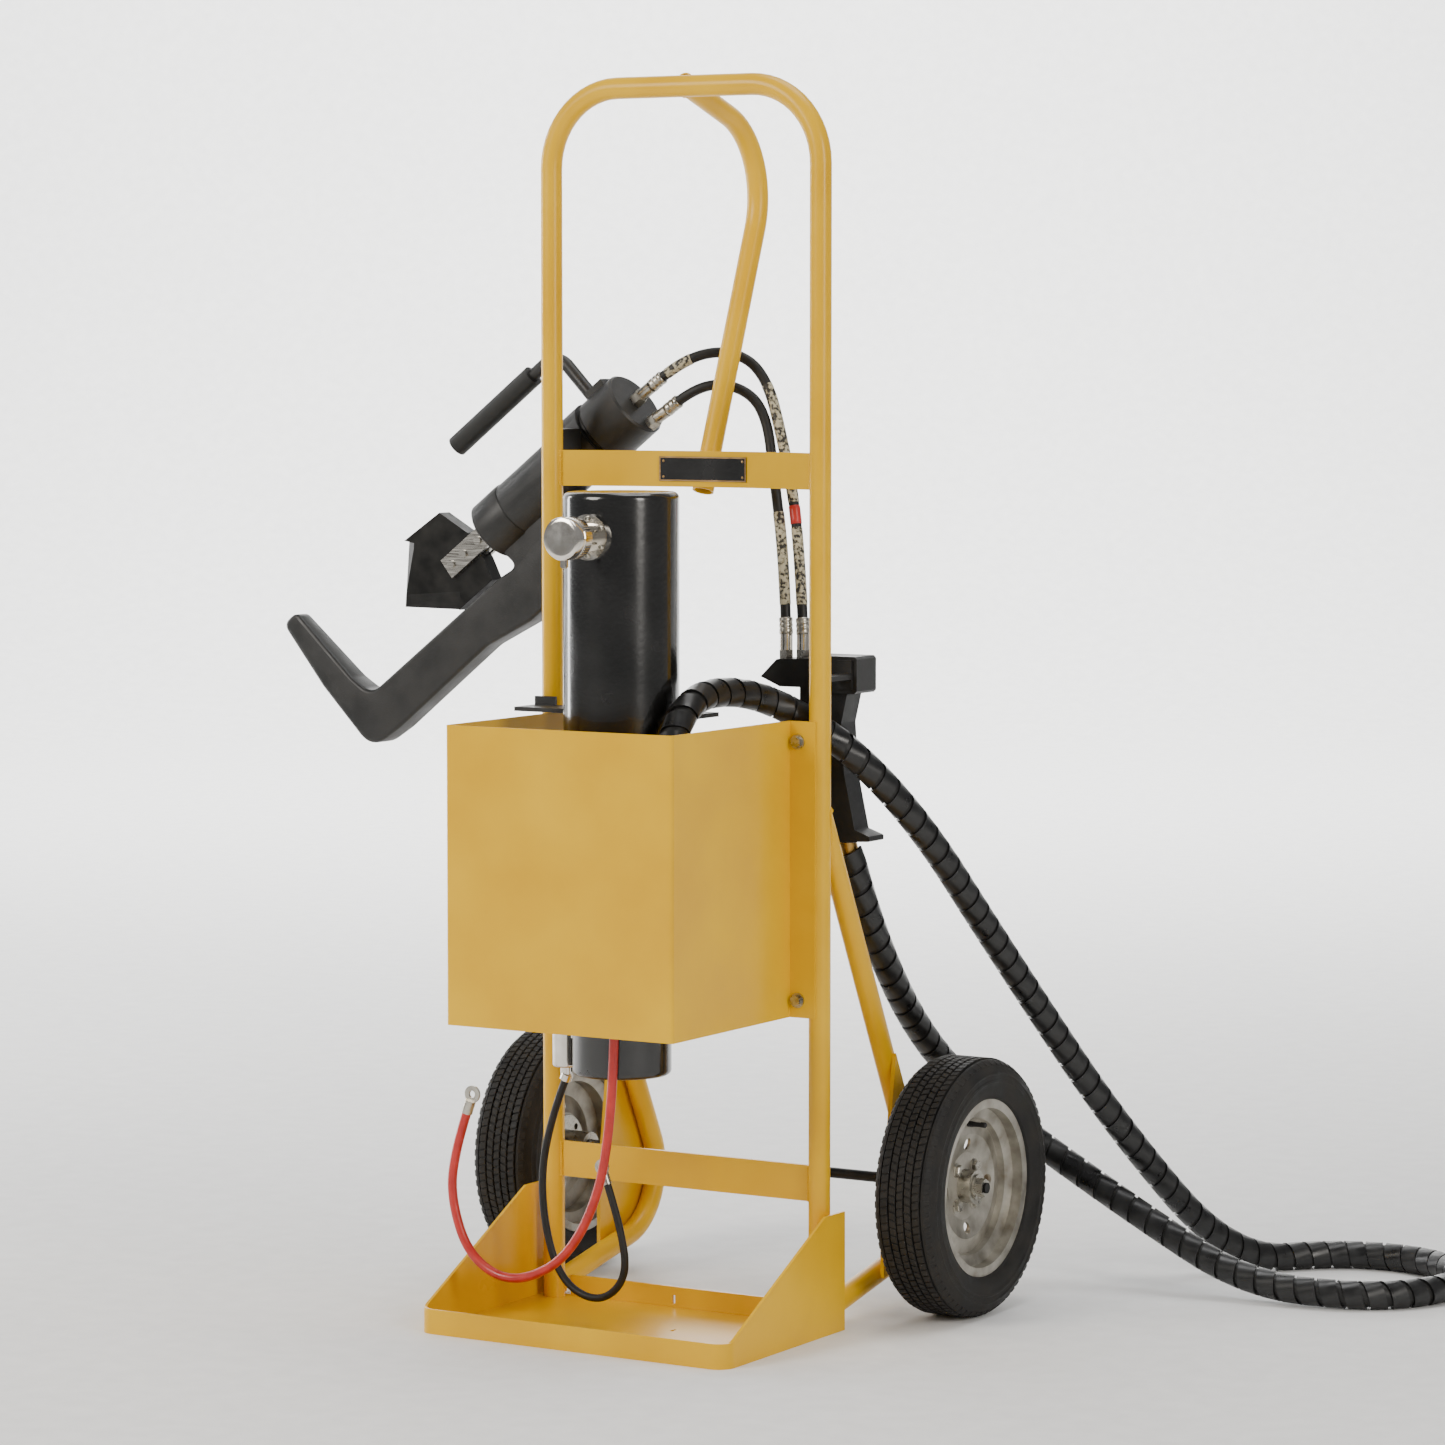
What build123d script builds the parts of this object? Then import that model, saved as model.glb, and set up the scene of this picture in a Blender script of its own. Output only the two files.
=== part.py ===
from build123d import *
import os
from math import cos, sin, tan, radians

# Cart-mounted rescue cutter, in millimetres.
# X to the right, -Y to the front (toe tray), Z up, floor at Z = 0.

# ---- frame ----
tube_od = 25.4
tube_wall = 2.0
tube_half_span = 183.0
frame_height = 1449.5
top_bend_radius = 92.0
handle_bend_radius = 100.0
brace_bend_radius = 80.0
crossbar_thickness = 5.0
crossbar_height = 42.0
crossbar_bow = 34.0
upper_crossbar_z = 994.0
lower_crossbar_z = 171.0
axle_plate_thickness = 5.0

# ---- toe tray ----
tray_half_width = 208.0
tray_front_y = -252.0
tray_rear_y = 16.2
tray_sheet = 3.5
tray_lip = 29.0
tray_gusset_height = 139.0

# ---- wheels ----
wheel_radius = 152.5
tyre_width = 80.0
wheel_mid_x = 278.5
axle_y = 170.0
axle_diameter = 12.7
rim_flange_radius = 103.5
hub_length = 58.0

# ---- shroud ----
shroud_half_width = 151.6
shroud_front_y = -272.0
shroud_bottom_z = 365.0
shroud_top_z = 708.0
shroud_sheet = 2.0
shroud_bolt_x = 162.0
shroud_bolt_z = (385.0, 684.0)

# ---- power unit ----
unit_y = -137.0
tank_radius = 66.5
tank_wall = 3.0
tank_top_z = 972.0
block_top_z = 555.0
block_bottom_z = 455.0
block_half = 62.0
motor_radius = 57.0
motor_bottom_z = 303.0
gear_centres = 34.0
gear_radius = 16.9
filler_z = 922.0
filler_reach = 60.0
contactor_x = -80.0
contactor_y = -133.0

# ---- cutter ----
cutter_x = -328.0
cutter_y = 95.0
cutter_z = 913.0
cutter_rise = 37.8
barrel_radius = 38.0
barrel_bore = 30.0
barrel_front = 45.0
barrel_rear = 200.0
end_block_length = 56.0
end_block_radius = 42.0
rod_radius = 14.0
hook_thickness = 38.0
blade_thickness = 22.0
blade_stroke = 105.0
grip_offset = 115.0
grip_radius = 13.0

# ---- control valve ----
valve_y = 92.0
valve_depth = 46.0
head_bottom_z = 735.0
head_top_z = 778.0
head_left_x = 60.0
head_split_x = 128.0
head_right_x = 192.0
spool_radius = 7.0
trigger_x = 118.0

# ---- hoses and cables ----
bundle_diameter = 34.0
thin_hose_diameter = 12.5
red_cable_diameter = 11.0
black_cable_diameter = 9.0

bundle_route = [
    (100, -225, 525), (88, -200, 728), (98, -15, 752), (235, 75, 640),
    (290, 290, 385), (362, 418, 190), (445, 560, 17), (541, 675, 17),
    (649, 684, 17), (732, 615, 17), (742, 506, 17), (672, 423, 17),
    (535, 408, 22), (400, 405, 90), (215, 390, 200), (178, 260, 300),
    (182, 118, 455), (171, 92, 545)]
upper_hose_route = [
    (-104, 95, 1089), (-62, 95, 1122), (-12, 124, 1134), (30, 136, 1106),
    (62, 124, 1020), (92, 108, 920), (107, 92, 800)]
lower_hose_route = [
    (-82, 95, 1061), (-43, 95, 1091), (3, 116, 1092), (36, 126, 1062),
    (56, 112, 980), (76, 100, 890), (84, 92, 800)]
red_route = [
    (30, -200, 420), (30, -200, 240), (-20, -200, 105), (-105, -200, 56),
    (-170, -200, 82), (-196, -200, 150), (-190, -200, 205), (-173, -200, 252)]
black_route = [
    (-80, -133, 290), (-113, -124, 225), (-124, -120, 140), (-100, -120, 52),
    (-45, -120, 27), (-4, -120, 60), (-12, -120, 118), (-31, -120, 169)]

# ---------------------------------------------------------------- helpers
def cyl(radius, start, end):
    """A cylinder between two points."""
    a = Vector(*start)
    b = Vector(*end)
    axis = b - a
    return extrude(Plane(origin=a, z_dir=axis) * Circle(radius), axis.length)


def ring(outer, inner, start, end):
    """A tube section between two points."""
    return cyl(outer, start, end) - cyl(inner, start, end)


def block(x0, x1, y0, y1, z0, z1):
    """A box given by its limits."""
    centre = Pos((x0 + x1) / 2, (y0 + y1) / 2, (z0 + z1) / 2)
    return centre * Box(x1 - x0, y1 - y0, z1 - z0)


def route_radii(points):
    """One bend radius for each inner corner of a route."""
    radii = []
    for i in range(1, len(points) - 1):
        before = Vector(*points[i]) - Vector(*points[i - 1])
        after = Vector(*points[i + 1]) - Vector(*points[i])
        turn = radians(before.get_angle(after))
        run = min(before.length, after.length)
        radii.append(0.45 * run / tan(turn / 2))
    return radii


def cord(points, diameter, name):
    """A round cord along a route of straight runs joined by tangent arcs."""
    radii = route_radii(points)
    path = FilletPolyline(*points, radius=radii)
    print(name, "radii", [round(r) for r in radii], "length", round(path.length))
    solid = sweep(Plane(origin=path @ 0, z_dir=path % 0) * Circle(diameter / 2), path=path)
    section = 3.14159265 * diameter ** 2 / 4
    print(name, "volume ratio", round(solid.volume / (section * path.length), 4))
    return solid


def bent_rod(points, radii, radius):
    """A solid rod with rounded bends."""
    path = FilletPolyline(*points, radius=radii)
    return sweep(Plane(origin=path @ 0, z_dir=path % 0) * Circle(radius), path=path)


def bent_tube(points, radii, od, wall):
    """A hollow tube with rounded bends."""
    return bent_rod(points, radii, od / 2) - bent_rod(points, radii, od / 2 - wall)


def hex_bolt(start, end, radius):
    """Washer, hexagon head and shank, head at the start."""
    a = Vector(*start)
    way = (Vector(*end) - a).normalized()
    head_plane = Plane(origin=a - way * 7.0, z_dir=way)
    head = extrude(head_plane * RegularPolygon(radius * 1.65, 6), 5.3)
    washer = extrude(Plane(origin=a - way * 1.7, z_dir=way) * Circle(radius * 2.2), 1.7)
    shank = extrude(Plane(origin=a, z_dir=way) * Circle(radius), (Vector(*end) - a).length)
    return head + washer + shank


def mirror_x(shape):
    return mirror(shape, about=Plane.YZ)


# ---------------------------------------------------------------- frame
tube_r = tube_od / 2
top_z = frame_height - tube_r
tube_foot_z = 0.0

main_points = [
    (-tube_half_span, 0, tube_foot_z), (-tube_half_span, 0, top_z),
    (tube_half_span, 0, top_z), (tube_half_span, 0, tube_foot_z)]
handle_points = [(0, 0, 1440.5), (0, 198, 1373.5), (0, 42, 968)]
brace_points = [
    (tube_half_span, 2, 602), (tube_half_span, 267, 72),
    (tube_half_span, 2, 17.5)]


def main_tube():
    return bent_tube(main_points, [top_bend_radius] * 2, tube_od, tube_wall)


def main_tube_space():
    return bent_rod(main_points, [top_bend_radius] * 2, tube_r)


def rear_handle(main_space):
    handle = bent_tube(handle_points, [handle_bend_radius], tube_od, tube_wall)
    return handle - main_space - upper_crossbar(main_space)


def upper_crossbar(main_space):
    """A flat bar bowed to the rear between the two uprights."""
    span = tube_half_span - 2.0
    bow_radius = (span ** 2 + crossbar_bow ** 2) / (2 * crossbar_bow)
    centre = Pos(0, crossbar_bow - bow_radius, upper_crossbar_z - crossbar_height / 2)
    band = centre * (extrude(Circle(bow_radius), crossbar_height)
                     - extrude(Circle(bow_radius - crossbar_thickness), crossbar_height))
    keep = block(-span, span, -12, 60, upper_crossbar_z - 50, upper_crossbar_z + 50)
    return (band & keep) - main_space


def lower_crossbar(main_space):
    """A straight flat bar between the two uprights."""
    span = tube_half_span - 2.0
    half = crossbar_thickness / 2
    bar = block(-span, span, -half, half, lower_crossbar_z - crossbar_height / 2,
                lower_crossbar_z + crossbar_height / 2)
    return bar - main_space


def nameplate():
    """A blank plate on the front of the upper crossbar."""
    span = tube_half_span - 2.0
    bow_radius = (span ** 2 + crossbar_bow ** 2) / (2 * crossbar_bow) - crossbar_thickness
    centre = Pos(0, crossbar_bow - bow_radius - crossbar_thickness, upper_crossbar_z - 14.5)
    band = centre * (extrude(Circle(bow_radius), 29)
                     - extrude(Circle(bow_radius - 1.2), 29))
    return band & block(-50, 70, 0, 60, 900, 1100)


def right_brace(main_space):
    brace = bent_tube(brace_points, [brace_bend_radius], tube_od, tube_wall)
    return brace - main_space


def right_axle_plate():
    """The flat plate welded to the outside of the brace loop, which carries the axle."""
    outline = [(150, 306), (141, 249), (131, 176), (122, 129), (122, 42.2), (267, 72)]
    face = make_face(Polyline(*outline, close=True))
    corner = face.vertices().sort_by(Axis.X)[-1]
    face = fillet(corner, brace_bend_radius)
    inner = tube_half_span + tube_r
    side = Plane(origin=(inner, 0, 0), x_dir=(0, 1, 0), z_dir=(1, 0, 0))
    plate = extrude(side * face, axle_plate_thickness)
    return plate - cyl(axle_diameter / 2 + 0.05, (inner - 5, axle_y, wheel_radius),
                       (inner + 15, axle_y, wheel_radius))


def toe_tray():
    """Floor, front lip, sloped side gussets and a low rear wall, in one sheet."""
    outer = block(-tray_half_width, tray_half_width, tray_front_y, tray_rear_y,
                  0, tray_gusset_height)
    outer = fillet(outer.edges().filter_by(Axis.Z).group_by(Axis.Y)[0], 20)
    inner = block(-tray_half_width + tray_sheet, tray_half_width - tray_sheet,
                  tray_front_y + tray_sheet, tray_rear_y - tray_sheet,
                  tray_sheet, tray_gusset_height + 5)
    inner = fillet(inner.edges().filter_by(Axis.Z).group_by(Axis.Y)[0], 20 - tray_sheet)
    tray = outer - inner
    slope = make_face(Polyline(
        (tray_front_y - 5, tray_lip), (tray_front_y + 14, tray_lip), (-28, tray_gusset_height),
        (-28, tray_gusset_height + 5), (tray_front_y - 5, tray_gusset_height + 5), close=True))
    across = Plane(origin=(-300, 0, 0), x_dir=(0, 1, 0), z_dir=(1, 0, 0))
    tray = tray - extrude(across * slope, 600)
    wall_half = tray_half_width - tray_sheet
    tray = tray - block(-wall_half, wall_half, tray_rear_y - 10, tray_rear_y + 5,
                        28, tray_gusset_height + 5)
    for side in (-1, 1):
        mid = side * tube_half_span
        tray = tray - block(mid - 15, mid + 15, tray_rear_y - tray_sheet - 0.1,
                            tray_rear_y + 5, tray_sheet, 60)
        tray = tray - cyl(tube_r, (mid, 0, -1), (mid, 0, 10))
    slot = block(-25, -21, 0, 30, 8, 18) + block(46, 50, -108, -98, -5, 10)
    return tray - slot


def shroud_tabs(main_space):
    """Four lugs welded to the uprights to take the shroud bolts."""
    tabs = []
    for side in (-1, 1):
        for z in shroud_bolt_z:
            low, high = sorted((side * 150.0, side * 176.0))
            tab = block(low, high, -12.7, -7.7, z - 15, z + 15) - main_space
            hole = cyl(4.05, (side * shroud_bolt_x, -20, z), (side * shroud_bolt_x, 0, z))
            tabs.append(tab - hole)
    return Compound(tabs)


# ---------------------------------------------------------------- shroud
def shroud():
    """One sheet bent to a U, with outward flanges at the rear."""
    w = shroud_half_width
    flange_y = -12.7 - shroud_sheet
    outer = block(-w, w, shroud_front_y, -12.7, shroud_bottom_z, shroud_top_z)
    outer = fillet(outer.edges().filter_by(Axis.Z).group_by(Axis.Y)[0], 4)
    inner = block(-w + shroud_sheet, w - shroud_sheet, shroud_front_y + shroud_sheet, 0,
                  shroud_bottom_z - 5, shroud_top_z + 5)
    inner = fillet(inner.edges().filter_by(Axis.Z).group_by(Axis.Y)[0], 2)
    body = outer - inner
    for side in (-1, 1):
        low, high = sorted((side * (w - shroud_sheet), side * (tube_half_span + 2)))
        body = body + block(low, high, flange_y, -12.7, shroud_bottom_z, shroud_top_z)
        for z in shroud_bolt_z:
            body = body - cyl(4.05, (side * shroud_bolt_x, -30, z), (side * shroud_bolt_x, 0, z))
    return body


def shroud_bolts():
    bolts = []
    for side in (-1, 1):
        for z in shroud_bolt_z:
            x = side * shroud_bolt_x
            start = (x, -12.7 - shroud_sheet, z)
            bolt = hex_bolt(start, (x, -1.0, z), 4.0)
            nut = extrude(Plane(origin=(x, -7.7, z), z_dir=(0, 1, 0)) * RegularPolygon(6.6, 6), 5.5)
            bolts.append(bolt + nut)
    return Compound(bolts)


# ---------------------------------------------------------------- wheels
def wheel_ring(profile, mid_x):
    """Revolve an (offset along the axle, radius) outline about the axle line."""
    points = [(mid_x + a, axle_y, wheel_radius + r) for a, r in profile]
    face = make_face(Polyline(*points, close=True))
    axis = Axis((mid_x, axle_y, wheel_radius), (1, 0, 0))
    return revolve(face, axis, 360)


def tyre(mid_x):
    h = tyre_width / 2
    r = wheel_radius
    bead = h - 11.7
    profile = [
        (-bead, 97.1), (-bead, 103.7), (-h + 4, 106), (-h, 122), (-h + 1, 135), (-h + 6, r - 6),
        (-h + 14, r - 1.5), (-h + 24, r), (h - 24, r), (h - 14, r - 1.5), (h - 6, r - 6),
        (h - 1, 135), (h, 122), (h - 4, 106), (bead, 103.7), (bead, 97.1), (bead - 7, 97.1),
        (bead - 7, 103), (h - 9, 112), (h - 8, 130), (h - 14, r - 9), (-h + 14, r - 9),
        (-h + 8, 130), (-h + 9, 112), (-bead + 7, 103), (-bead + 7, 97.1)]
    return wheel_ring(profile, mid_x)


def rim(mid_x, side):
    """Pressed steel rim: flanges, drop centre and a dished disc at the hub."""
    s = side
    h = tyre_width / 2
    profile = [
        (-s * (h - 9), rim_flange_radius), (-s * (h - 11.6), rim_flange_radius),
        (-s * (h - 11.6), 97), (-s * 16, 96.9), (-s * 12, 84), (s * 12, 84), (s * 16, 96.9),
        (s * (h - 11.6), 97), (s * (h - 11.6), rim_flange_radius), (s * (h - 9), rim_flange_radius),
        (s * (h - 9), 94), (s * 18, 93.5), (s * 14, 81), (s * 6, 80), (s * 10, 62), (s * 4, 40),
        (s * 4, 20.05), (s * 1, 20.05), (s * 1, 41), (s * 6, 62), (s * 2, 80), (-s * 14, 81),
        (-s * 18, 93.5), (-s * (h - 9), 94)]
    body = wheel_ring(profile, mid_x)
    for i in range(4):
        a = radians(45 + 90 * i)
        y = axle_y + 30 * cos(a)
        z = wheel_radius + 30 * sin(a)
        body = body - cyl(4.1, (mid_x - 60, y, z), (mid_x + 60, y, z))
        a = radians(90 * i)
        y = axle_y + 50 * cos(a)
        z = wheel_radius + 50 * sin(a)
        body = body - cyl(7.0, (mid_x - 60, y, z), (mid_x + 60, y, z))
    return body


def hub(mid_x, side):
    """Hub with a bored flange behind the rim disc."""
    h = hub_length / 2
    centre = (mid_x - side * 9)
    body = ring(20.0, 8.0, (centre - h, axle_y, wheel_radius), (centre + h, axle_y, wheel_radius))
    flange = ring(38.0, 8.0, (mid_x - side * 3, axle_y, wheel_radius),
                  (mid_x + side * 1, axle_y, wheel_radius))
    body = body + flange
    for i in range(4):
        a = radians(45 + 90 * i)
        y = axle_y + 30 * cos(a)
        z = wheel_radius + 30 * sin(a)
        body = body - cyl(4.1, (mid_x - 60, y, z), (mid_x + 60, y, z))
    return body


def hub_bushes(mid_x, side):
    """Two sleeve bearings pressed into the hub."""
    h = hub_length / 2
    centre = mid_x - side * 9
    bore = axle_diameter / 2 + 0.05
    left = ring(8.0, bore, (centre - h, axle_y, wheel_radius), (centre - h + 20, axle_y, wheel_radius))
    right = ring(8.0, bore, (centre + h - 20, axle_y, wheel_radius), (centre + h, axle_y, wheel_radius))
    return Compound([left, right])


def axle():
    end = wheel_mid_x - 9 + hub_length / 2 + 14
    return cyl(axle_diameter / 2, (-end, axle_y, wheel_radius), (end, axle_y, wheel_radius))


def axle_spacers():
    """Sleeves that hold each hub off its axle plate."""
    parts = []
    inner = tube_half_span + tube_r + axle_plate_thickness
    outer = wheel_mid_x - 9 - hub_length / 2 - 0.4
    for side in (-1, 1):
        parts.append(ring(11.0, axle_diameter / 2 + 0.05, (side * inner, axle_y, wheel_radius),
                          (side * outer, axle_y, wheel_radius)))
    return Compound(parts)


def axle_nuts():
    parts = []
    start = wheel_mid_x - 9 + hub_length / 2 + 0.4
    for side in (-1, 1):
        washer = ring(15.0, axle_diameter / 2 + 0.02, (side * start, axle_y, wheel_radius),
                      (side * (start + 2.0), axle_y, wheel_radius))
        plane = Plane(origin=(side * (start + 2.0), axle_y, wheel_radius), z_dir=(side, 0, 0))
        nut = extrude(plane * RegularPolygon(11.0, 6), 9.0)
        nut = nut - cyl(axle_diameter / 2 + 0.02, (side * start, axle_y, wheel_radius),
                        (side * (start + 20), axle_y, wheel_radius))
        parts.append(washer + nut)
    return Compound(parts)


# ---------------------------------------------------------------- power unit
def tank_shell():
    """Hydraulic oil tank, closed and rounded at the top, open at the bottom."""
    outer = cyl(tank_radius, (0, unit_y, block_top_z), (0, unit_y, tank_top_z))
    outer = fillet(outer.edges().sort_by(Axis.Z)[-1], 8)
    inner = cyl(tank_radius - tank_wall, (0, unit_y, block_top_z - 1),
                (0, unit_y, tank_top_z - tank_wall))
    inner = fillet(inner.edges().sort_by(Axis.Z)[-1], 5)
    neck = cyl(16.0, (0, unit_y - tank_radius - 9, filler_z), (0, unit_y - 40, filler_z))
    return outer - inner - neck


def filler_neck():
    """Flanged chrome neck on the front of the tank."""
    face_y = unit_y - tank_radius
    flange = cyl(26.0, (0, face_y - 5, filler_z), (0, face_y + 8, filler_z))
    flange = flange - cyl(tank_radius, (0, unit_y, filler_z - 60), (0, unit_y, filler_z + 60))
    tube = cyl(15.9, (0, face_y - filler_reach + 16, filler_z), (0, face_y + 6, filler_z))
    bore = cyl(12.0, (0, face_y - filler_reach, filler_z), (0, face_y + 20, filler_z))
    return flange + tube - bore


def filler_screws():
    face_y = unit_y - tank_radius - 5
    screws = []
    for i in range(6):
        a = radians(60 * i + 30)
        x = 21.0 * cos(a)
        z = filler_z + 21.0 * sin(a)
        screws.append(cyl(2.8, (x, face_y - 2.5, z), (x, face_y, z)))
    return Compound(screws)


def filler_cap():
    """Breather cap that turns on the neck."""
    face_y = unit_y - tank_radius
    skirt = ring(24.0, 16.0, (0, face_y - filler_reach + 12, filler_z),
                 (0, face_y - filler_reach + 30, filler_z))
    top = cyl(25.0, (0, face_y - filler_reach, filler_z), (0, face_y - filler_reach + 12, filler_z))
    top = chamfer(top.edges().group_by(Axis.Y)[0], 2)
    ear = block(-5, 5, face_y - filler_reach + 4, face_y - filler_reach + 10,
                filler_z - 33, filler_z - 22)
    return skirt + top + ear


def manifold_block():
    """Valve block between the tank and the motor, hollow for the gear pair."""
    body = block(-block_half, block_half, unit_y - block_half, unit_y + block_half,
                 block_bottom_z, block_top_z)
    side = block(block_half, 122, -250, unit_y + 30, 470, 520)
    body = body + side
    chamber = cyl(gear_radius + 2.05, (0, unit_y, 480), (0, unit_y, 520))
    chamber = chamber + cyl(gear_radius + 2.05, (0, unit_y + gear_centres, 480),
                            (0, unit_y + gear_centres, 520))
    shaft_bore = cyl(6.05, (0, unit_y, block_bottom_z - 1), (0, unit_y, 540))
    idler_bore = cyl(6.05, (0, unit_y + gear_centres, 466), (0, unit_y + gear_centres, 534))
    return body - chamber - shaft_bore - idler_bore


def motor_case():
    """Cylindrical motor housing with a closed lower end."""
    outer = cyl(motor_radius, (0, unit_y, motor_bottom_z), (0, unit_y, block_bottom_z))
    outer = fillet(outer.edges().sort_by(Axis.Z)[0], 6)
    inner = cyl(motor_radius - 5, (0, unit_y, motor_bottom_z + 10), (0, unit_y, block_bottom_z + 1))
    return (outer - inner) + red_terminal()


def gear(x, y, tooth_turn, teeth=12):
    """A simple spur gear on the pump's own shaft."""
    body = cyl(gear_radius - 1.9, (x, y, 482), (x, y, 518))
    for i in range(teeth):
        a = 360 / teeth * i + tooth_turn
        tooth = Pos(x, y, 500) * Rot(0, 0, a) * Pos(gear_radius - 1.2, 0, 0) * Box(5.4, 3.2, 36)
        body = body + tooth
    return body


def drive_shaft():
    """Motor armature, its shaft and the driving pump gear."""
    shaft = cyl(6.0, (0, unit_y, motor_bottom_z + 12), (0, unit_y, 536))
    core = cyl(38.0, (0, unit_y, motor_bottom_z + 35), (0, unit_y, block_bottom_z - 30))
    commutator = cyl(18.0, (0, unit_y, motor_bottom_z + 16), (0, unit_y, motor_bottom_z + 35))
    return shaft + core + commutator + gear(0, unit_y, 0)


def idler_gear():
    y = unit_y + gear_centres
    return cyl(6.0, (0, y, 468), (0, y, 532)) + gear(0, y, 15 + 90)


def unit_bracket(main_space):
    """Black plate that carries the power unit between the uprights."""
    plate = block(-172, 172, -12, -6, 445, 565)
    feet = block(-50, -20, unit_y + block_half, -12, 465, 545)
    feet = feet + block(20, 50, unit_y + block_half, -12, 465, 545)
    return (plate + feet) - main_space


def steady_plate():
    """Shelf from the left upright to the tank, above the shroud."""
    shelf = block(-197, 55, -62, -13, shroud_top_z + 1, shroud_top_z + 6)
    shelf = shelf + block(-197, -169, -18, -12.7, shroud_top_z + 1, shroud_top_z + 16)
    return shelf - cyl(tank_radius, (0, unit_y, 600), (0, unit_y, 800))


def contactor():
    """Round motor switch beside the motor."""
    can = cyl(15.0, (contactor_x, contactor_y, motor_bottom_z + 2), (contactor_x, contactor_y, 372))
    can = fillet(can.edges().sort_by(Axis.Z)[0], 3)
    cap = cyl(17.0, (contactor_x, contactor_y, 372), (contactor_x, contactor_y, 384))
    strap = block(contactor_x, -48, contactor_y - 8, contactor_y + 8, 340, 344)
    strap = strap - cyl(motor_radius, (0, unit_y, 330), (0, unit_y, 350))
    return can + cap + strap + black_boot()


def red_terminal():
    """Terminal post on the motor that the red cable drops from."""
    x, y, z = red_route[0]
    post = block(x - 8, x + 8, y - 8, unit_y - 30, z, z + 18)
    return post - cyl(motor_radius, (0, unit_y, 400), (0, unit_y, 450))


# ---------------------------------------------------------------- cutter
rise = radians(cutter_rise)


def at(u, n, side=0.0):
    """Cutter frame to cart frame: u back along the ram, n below it, side to the rear."""
    x = cutter_x + u * cos(rise) + n * sin(rise)
    z = cutter_z + u * sin(rise) - n * cos(rise)
    return (x, cutter_y + side, z)


def slab(outline, thickness, side=0.0):
    """A plate whose outline is given in the cutter frame."""
    points = [at(u, n, side - thickness / 2) for u, n in outline]
    face = make_face(Polyline(*points, close=True))
    return extrude(face, thickness, dir=(0, 1, 0))


def hook_body():
    """Hook, beam and the head that takes the ram barrel, as one forging."""
    outline = [
        (-22, 54), (-232, 54), (-256, 46), (-274, 20), (-293, -85), (-299, -93), (-314, -95),
        (-320, -88), (-315, 3), (-303, 76), (-284, 103), (-254, 112), (-86, 109), (-18, 122),
        (70, 122), (130, 60), (130, 39), (barrel_front, 0), (barrel_front, -20), (0, -20),
        (0, 24), (10, 64), (0, 66)]
    body = slab(outline, hook_thickness)
    head = cyl(39.5, at(-2, 0), at(barrel_front, 0))
    body = body + head
    for side in (-1, 1):
        bevel = slab([(-330, 86), (-330, 130), (20, 130), (20, 98), (-86, 98), (-250, 98)], 12,
                     side * (hook_thickness / 2 + 1.5))
        body = body - bevel
    tip = slab([(-340, -110), (-280, -110), (-280, 0), (-340, 0)], 12, hook_thickness / 2 - 1)
    tip = tip + slab([(-340, -110), (-280, -110), (-280, 0), (-340, 0)], 12, -hook_thickness / 2 + 1)
    body = body - tip
    body = body - cyl(rod_radius + 0.05, at(-10, 0), at(barrel_front + 5, 0))
    return body - cyl(barrel_radius, at(barrel_front, 0), at(160, 0))


def ram_barrel():
    return ring(barrel_radius, barrel_bore, at(barrel_front, 0), at(barrel_rear, 0))


def ram_end_block():
    """Rear head of the ram, with a port boss and the two hose ports."""
    rear = barrel_rear + end_block_length
    body = cyl(end_block_radius, at(barrel_rear, 0), at(rear, 0))
    body = chamfer(body.edges(), 2.5)
    boss = slab([(barrel_rear + 12, -30), (barrel_rear + 12, -47), (barrel_rear + 42, -47),
                 (barrel_rear + 42, -30)], 34)
    return body + boss


def ram_piston():
    """Piston and rod, with two flats where the blade is held."""
    piston_front = barrel_front + blade_stroke + 18.0
    rod = cyl(rod_radius, at(-28, 0), at(piston_front + 2, 0))
    piston = cyl(barrel_bore - 0.05, at(piston_front, 0), at(piston_front + 22, 0))
    for side in (-1, 1):
        flat = slab([(-40, -20), (-5, -20), (-5, 20), (-40, 20)], 10, side * (blade_thickness / 2 + 5))
        rod = rod - flat
    return rod + piston - screw_holes()


def blade():
    """Five-sided blade with both front edges ground to a knife edge."""
    outline = [(-28, -19), (-46, -63), (-109, -67), (-164, -6), (-96, 48), (-34, 48), (-28, 19)]
    body = slab(outline, blade_thickness)
    for side in (-1, 1):
        lower = [at(-164, -6, 0), at(-96, 48, 0), at(-80, 30, side * 12), at(-146, -14, side * 12)]
        upper = [at(-164, -6, 0), at(-109, -67, 0), at(-98, -55, side * 12), at(-146, -14, side * 12)]
        body = body - knife(lower, side) - knife(upper, side)
    return body - screw_holes()


def knife(face, side):
    """A wedge that grinds one side of a cutting edge."""
    a, b, c, d = face
    y_out = cutter_y + side * 30
    high = [(p[0], y_out, p[2]) for p in face]
    points = [a, b, c, high[0], high[1], high[2]]
    return wedge(points, side) + wedge([a, c, d, high[0], high[2], high[3]], side)


def wedge(points, side):
    """A three-sided prism from its two end triangles."""
    a, b, c, p, q, r = points
    faces = [
        make_face(Polyline(a, b, c, close=True)), make_face(Polyline(p, q, r, close=True)),
        make_face(Polyline(a, b, q, p, close=True)), make_face(Polyline(b, c, r, q, close=True)),
        make_face(Polyline(c, a, p, r, close=True))]
    return Solid(Shell(faces))


def screw_holes():
    holes = cyl(3.05, at(-67, 0, -30), at(-67, 0, 30))
    holes = holes + cyl(3.05, at(-45, 0, -30), at(-45, 0, 30))
    return holes + cyl(3.05, at(-18, 0, -30), at(-18, 0, 30))


def blade_side_plates():
    outline = [(-77, -13.5), (-77, 13.5), (-6, 13.5), (-6, -13.5)]
    plates = []
    for side in (-1, 1):
        plates.append(slab(outline, 6, side * (blade_thickness / 2 + 3)) - screw_holes())
    return Compound(plates)


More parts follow.
